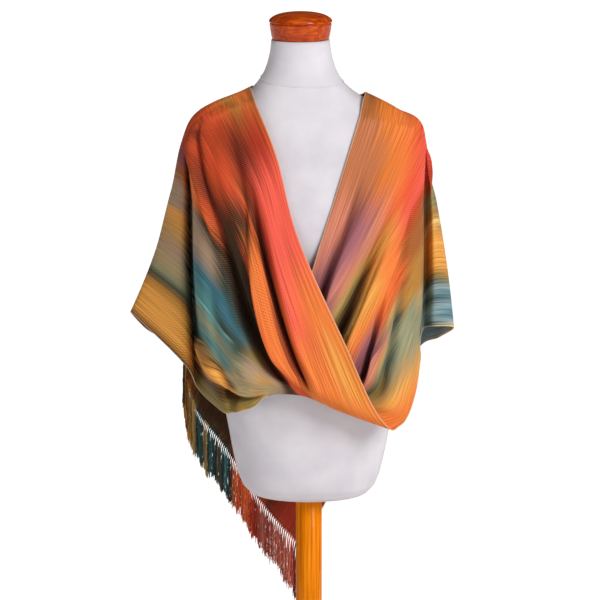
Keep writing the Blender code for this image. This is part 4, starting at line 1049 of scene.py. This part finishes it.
knot_size = add_node(fringe_tree, "ShaderNodeVectorMath", {0: KNOT_SHAPE, 3: given["Yarn radius"]},
                     operation="SCALE")
knot_spots = add_node(fringe_tree, "GeometryNodeSetPosition", {
    "Geometry": spots, "Offset": hanging(fringe_tree, knot_share, carried["reach"])})
knots = add_node(fringe_tree, "GeometryNodeInstanceOnPoints", {
    "Points": knot_spots, "Instance": knot_ball, "Scale": knot_size})
both = add_node(fringe_tree, "GeometryNodeJoinGeometry", [tubes])
fringe_tree.links.new(knots.outputs[0], both.inputs[0])
real = add_node(fringe_tree, "GeometryNodeRealizeInstances", {"Geometry": both})
soft = add_node(fringe_tree, "GeometryNodeSetShadeSmooth", [real])
coloured = add_node(fringe_tree, "GeometryNodeSetMaterial", {"Geometry": soft, "Material": given["Material"]})
add_node(fringe_tree, "NodeGroupOutput", {"Geometry": coloured})

# Rayon warp ends, dyed with the cloth: silky, each yarn lighter or darker than the next.
fringe_yarn, tree, shader = new_material("dyed_rayon_warp_ends", Roughness=0.5, Sheen_Weight=0.06,
                                         Specular_IOR_Level=0.25)
end_share, which_yarn, which_bundle = [
    add_node(tree, "ShaderNodeAttribute", attribute_name=attribute_name).outputs["Fac"]
    for attribute_name in ("share", "yarn", "bundle")]
# The fringe row's near-black is painted shade and its rose stripes are partly painted highlight.
dye = add_node(tree, "ShaderNodeGroup", {"Share": end_share, "Along": YARN_DYES_AT}, node_tree=dyed_warp_and_shade)
yarn_key = add_node(tree, "ShaderNodeMath", [which_bundle, YARNS_APART, which_yarn], operation="MULTIPLY_ADD")
yarn_tint = add_node(tree, "ShaderNodeTexWhiteNoise", {"W": yarn_key}, noise_dimensions="1D")
yarn_value = add_node(tree, "ShaderNodeMapRange", {"Value": yarn_tint, "To Min": 0.40, "To Max": 1.55})
yarn_tone = add_node(tree, "ShaderNodeHueSaturation", {"Value": yarn_value, "Color": dye})
tree.links.new(yarn_tone.outputs["Color"], shader.inputs["Base Color"])

fringe = add_piece("poncho_fringe_yarns", fringe_base)
grow_piece(fringe, fringe_tree, fringe_inputs, {**FRINGE_SIZES, "Material": fringe_yarn})
finish_piece(fringe, "fringe_yarn", "poncho_fringe")

# Studio: a pale floor that runs far behind the object, a broad sun from the front right, a soft box beside
# the camera, one above and one behind on the left, and a faint warm surround.
CAMERA_AIM = Vector((-0.015, 0.0, 0.935))
CAMERA_DISTANCE = 5.0
CAMERA_PITCH = math.radians(11.0)
CAMERA_LENS = 180.0
LIGHTS_AIM = Vector((0.0, 0.0, 1.05))
FLOOR_REACH = 60.0
FLOOR_GLOWS = {"From Min": 0.35, "From Max": 1.25}     # from none to all, in metres from the foot's middle
floor_corners = [(-FLOOR_REACH, -FLOOR_REACH, 0), (FLOOR_REACH, -FLOOR_REACH, 0),
                 (FLOOR_REACH, FLOOR_REACH, 0), (-FLOOR_REACH, FLOOR_REACH, 0)]
floor_mesh = bpy.data.meshes.new("studio_floor")
floor_mesh.from_pydata(floor_corners, [], [(0, 1, 2, 3)])
# Painted studio board, matt. Away from the foot it glows, as a lit sweep does, and so burns out to white.
# Close to the foot it stays a pale grey that throws little light up.
board, tree, shader = new_material("matt_white_board", Roughness=0.95, Specular_IOR_Level=0.1)
place = add_node(tree, "ShaderNodeTexCoord").outputs["Object"]
from_foot = add_node(tree, "ShaderNodeVectorMath", [place], operation="LENGTH").outputs["Value"]
away = add_node(tree, "ShaderNodeMapRange", {"Value": from_foot, **FLOOR_GLOWS},
                interpolation_type="SMOOTHSTEP")
tone = add_node(tree, "ShaderNodeMix", {0: away, 6: linear("#D8D8DA"), 7: linear("#FAFAFA")},
                data_type="RGBA")
tree.links.new(tone.outputs[2], shader.inputs["Base Color"])
glow = add_node(tree, "ShaderNodeMath", [away, 0.7], operation="MULTIPLY")
shader.inputs["Emission Color"].default_value = linear("#FFFFFF")
tree.links.new(glow.outputs["Value"], shader.inputs["Emission Strength"])
floor = add_piece("studio_floor", floor_mesh, board)


def add_light(name, kind, azimuth, elevation, distance, energy, **settings):
    """A light facing the chest from an azimuth, right of the camera, and an elevation, both in degrees."""
    turn, rise = math.radians(azimuth), math.radians(elevation)
    towards = Vector((math.sin(turn) * math.cos(rise), -math.cos(turn) * math.cos(rise), math.sin(rise)))
    data = bpy.data.lights.new(name, kind)
    data.energy = energy
    for setting, setting_value in settings.items():
        setattr(data, setting, setting_value)
    lamp = bpy.data.objects.new(name, data)
    lamp.location = LIGHTS_AIM + towards * distance
    lamp.rotation_euler = towards.to_track_quat("Z", "Y").to_euler()
    bpy.context.scene.collection.objects.link(lamp)


add_light("key", "SUN", 40, 31, 6.0, 2.15, angle=math.radians(24))
add_light("fill_box", "AREA", 18, 6, 3.2, 6.0, shape="RECTANGLE", size=1.4, size_y=1.4)
add_light("top_box", "AREA", 10, 68, 2.6, 12.0, shape="RECTANGLE", size=2.0, size_y=1.2)
add_light("rim_box", "AREA", -125, 20, 3.0, 1.2, shape="RECTANGLE", size=0.5, size_y=1.6)
world = bpy.data.worlds.new("studio_surround")
world.use_nodes = True
world.node_tree.nodes["Background"].inputs["Color"].default_value = linear("#FFE8D8")
world.node_tree.nodes["Background"].inputs["Strength"].default_value = 0.08
bpy.context.scene.world = world
bpy.context.scene.view_settings.view_transform = "Standard"

camera_data = bpy.data.cameras.new("camera")
camera_data.lens = CAMERA_LENS
camera_data.clip_end = 200.0
camera = bpy.data.objects.new("camera", camera_data)
camera_way = Vector((0.0, math.cos(CAMERA_PITCH), -math.sin(CAMERA_PITCH)))
camera.location = CAMERA_AIM - CAMERA_DISTANCE * camera_way
camera.rotation_euler = (math.pi / 2 - CAMERA_PITCH, 0.0, 0.0)
bpy.context.scene.collection.objects.link(camera)
bpy.context.scene.camera = camera
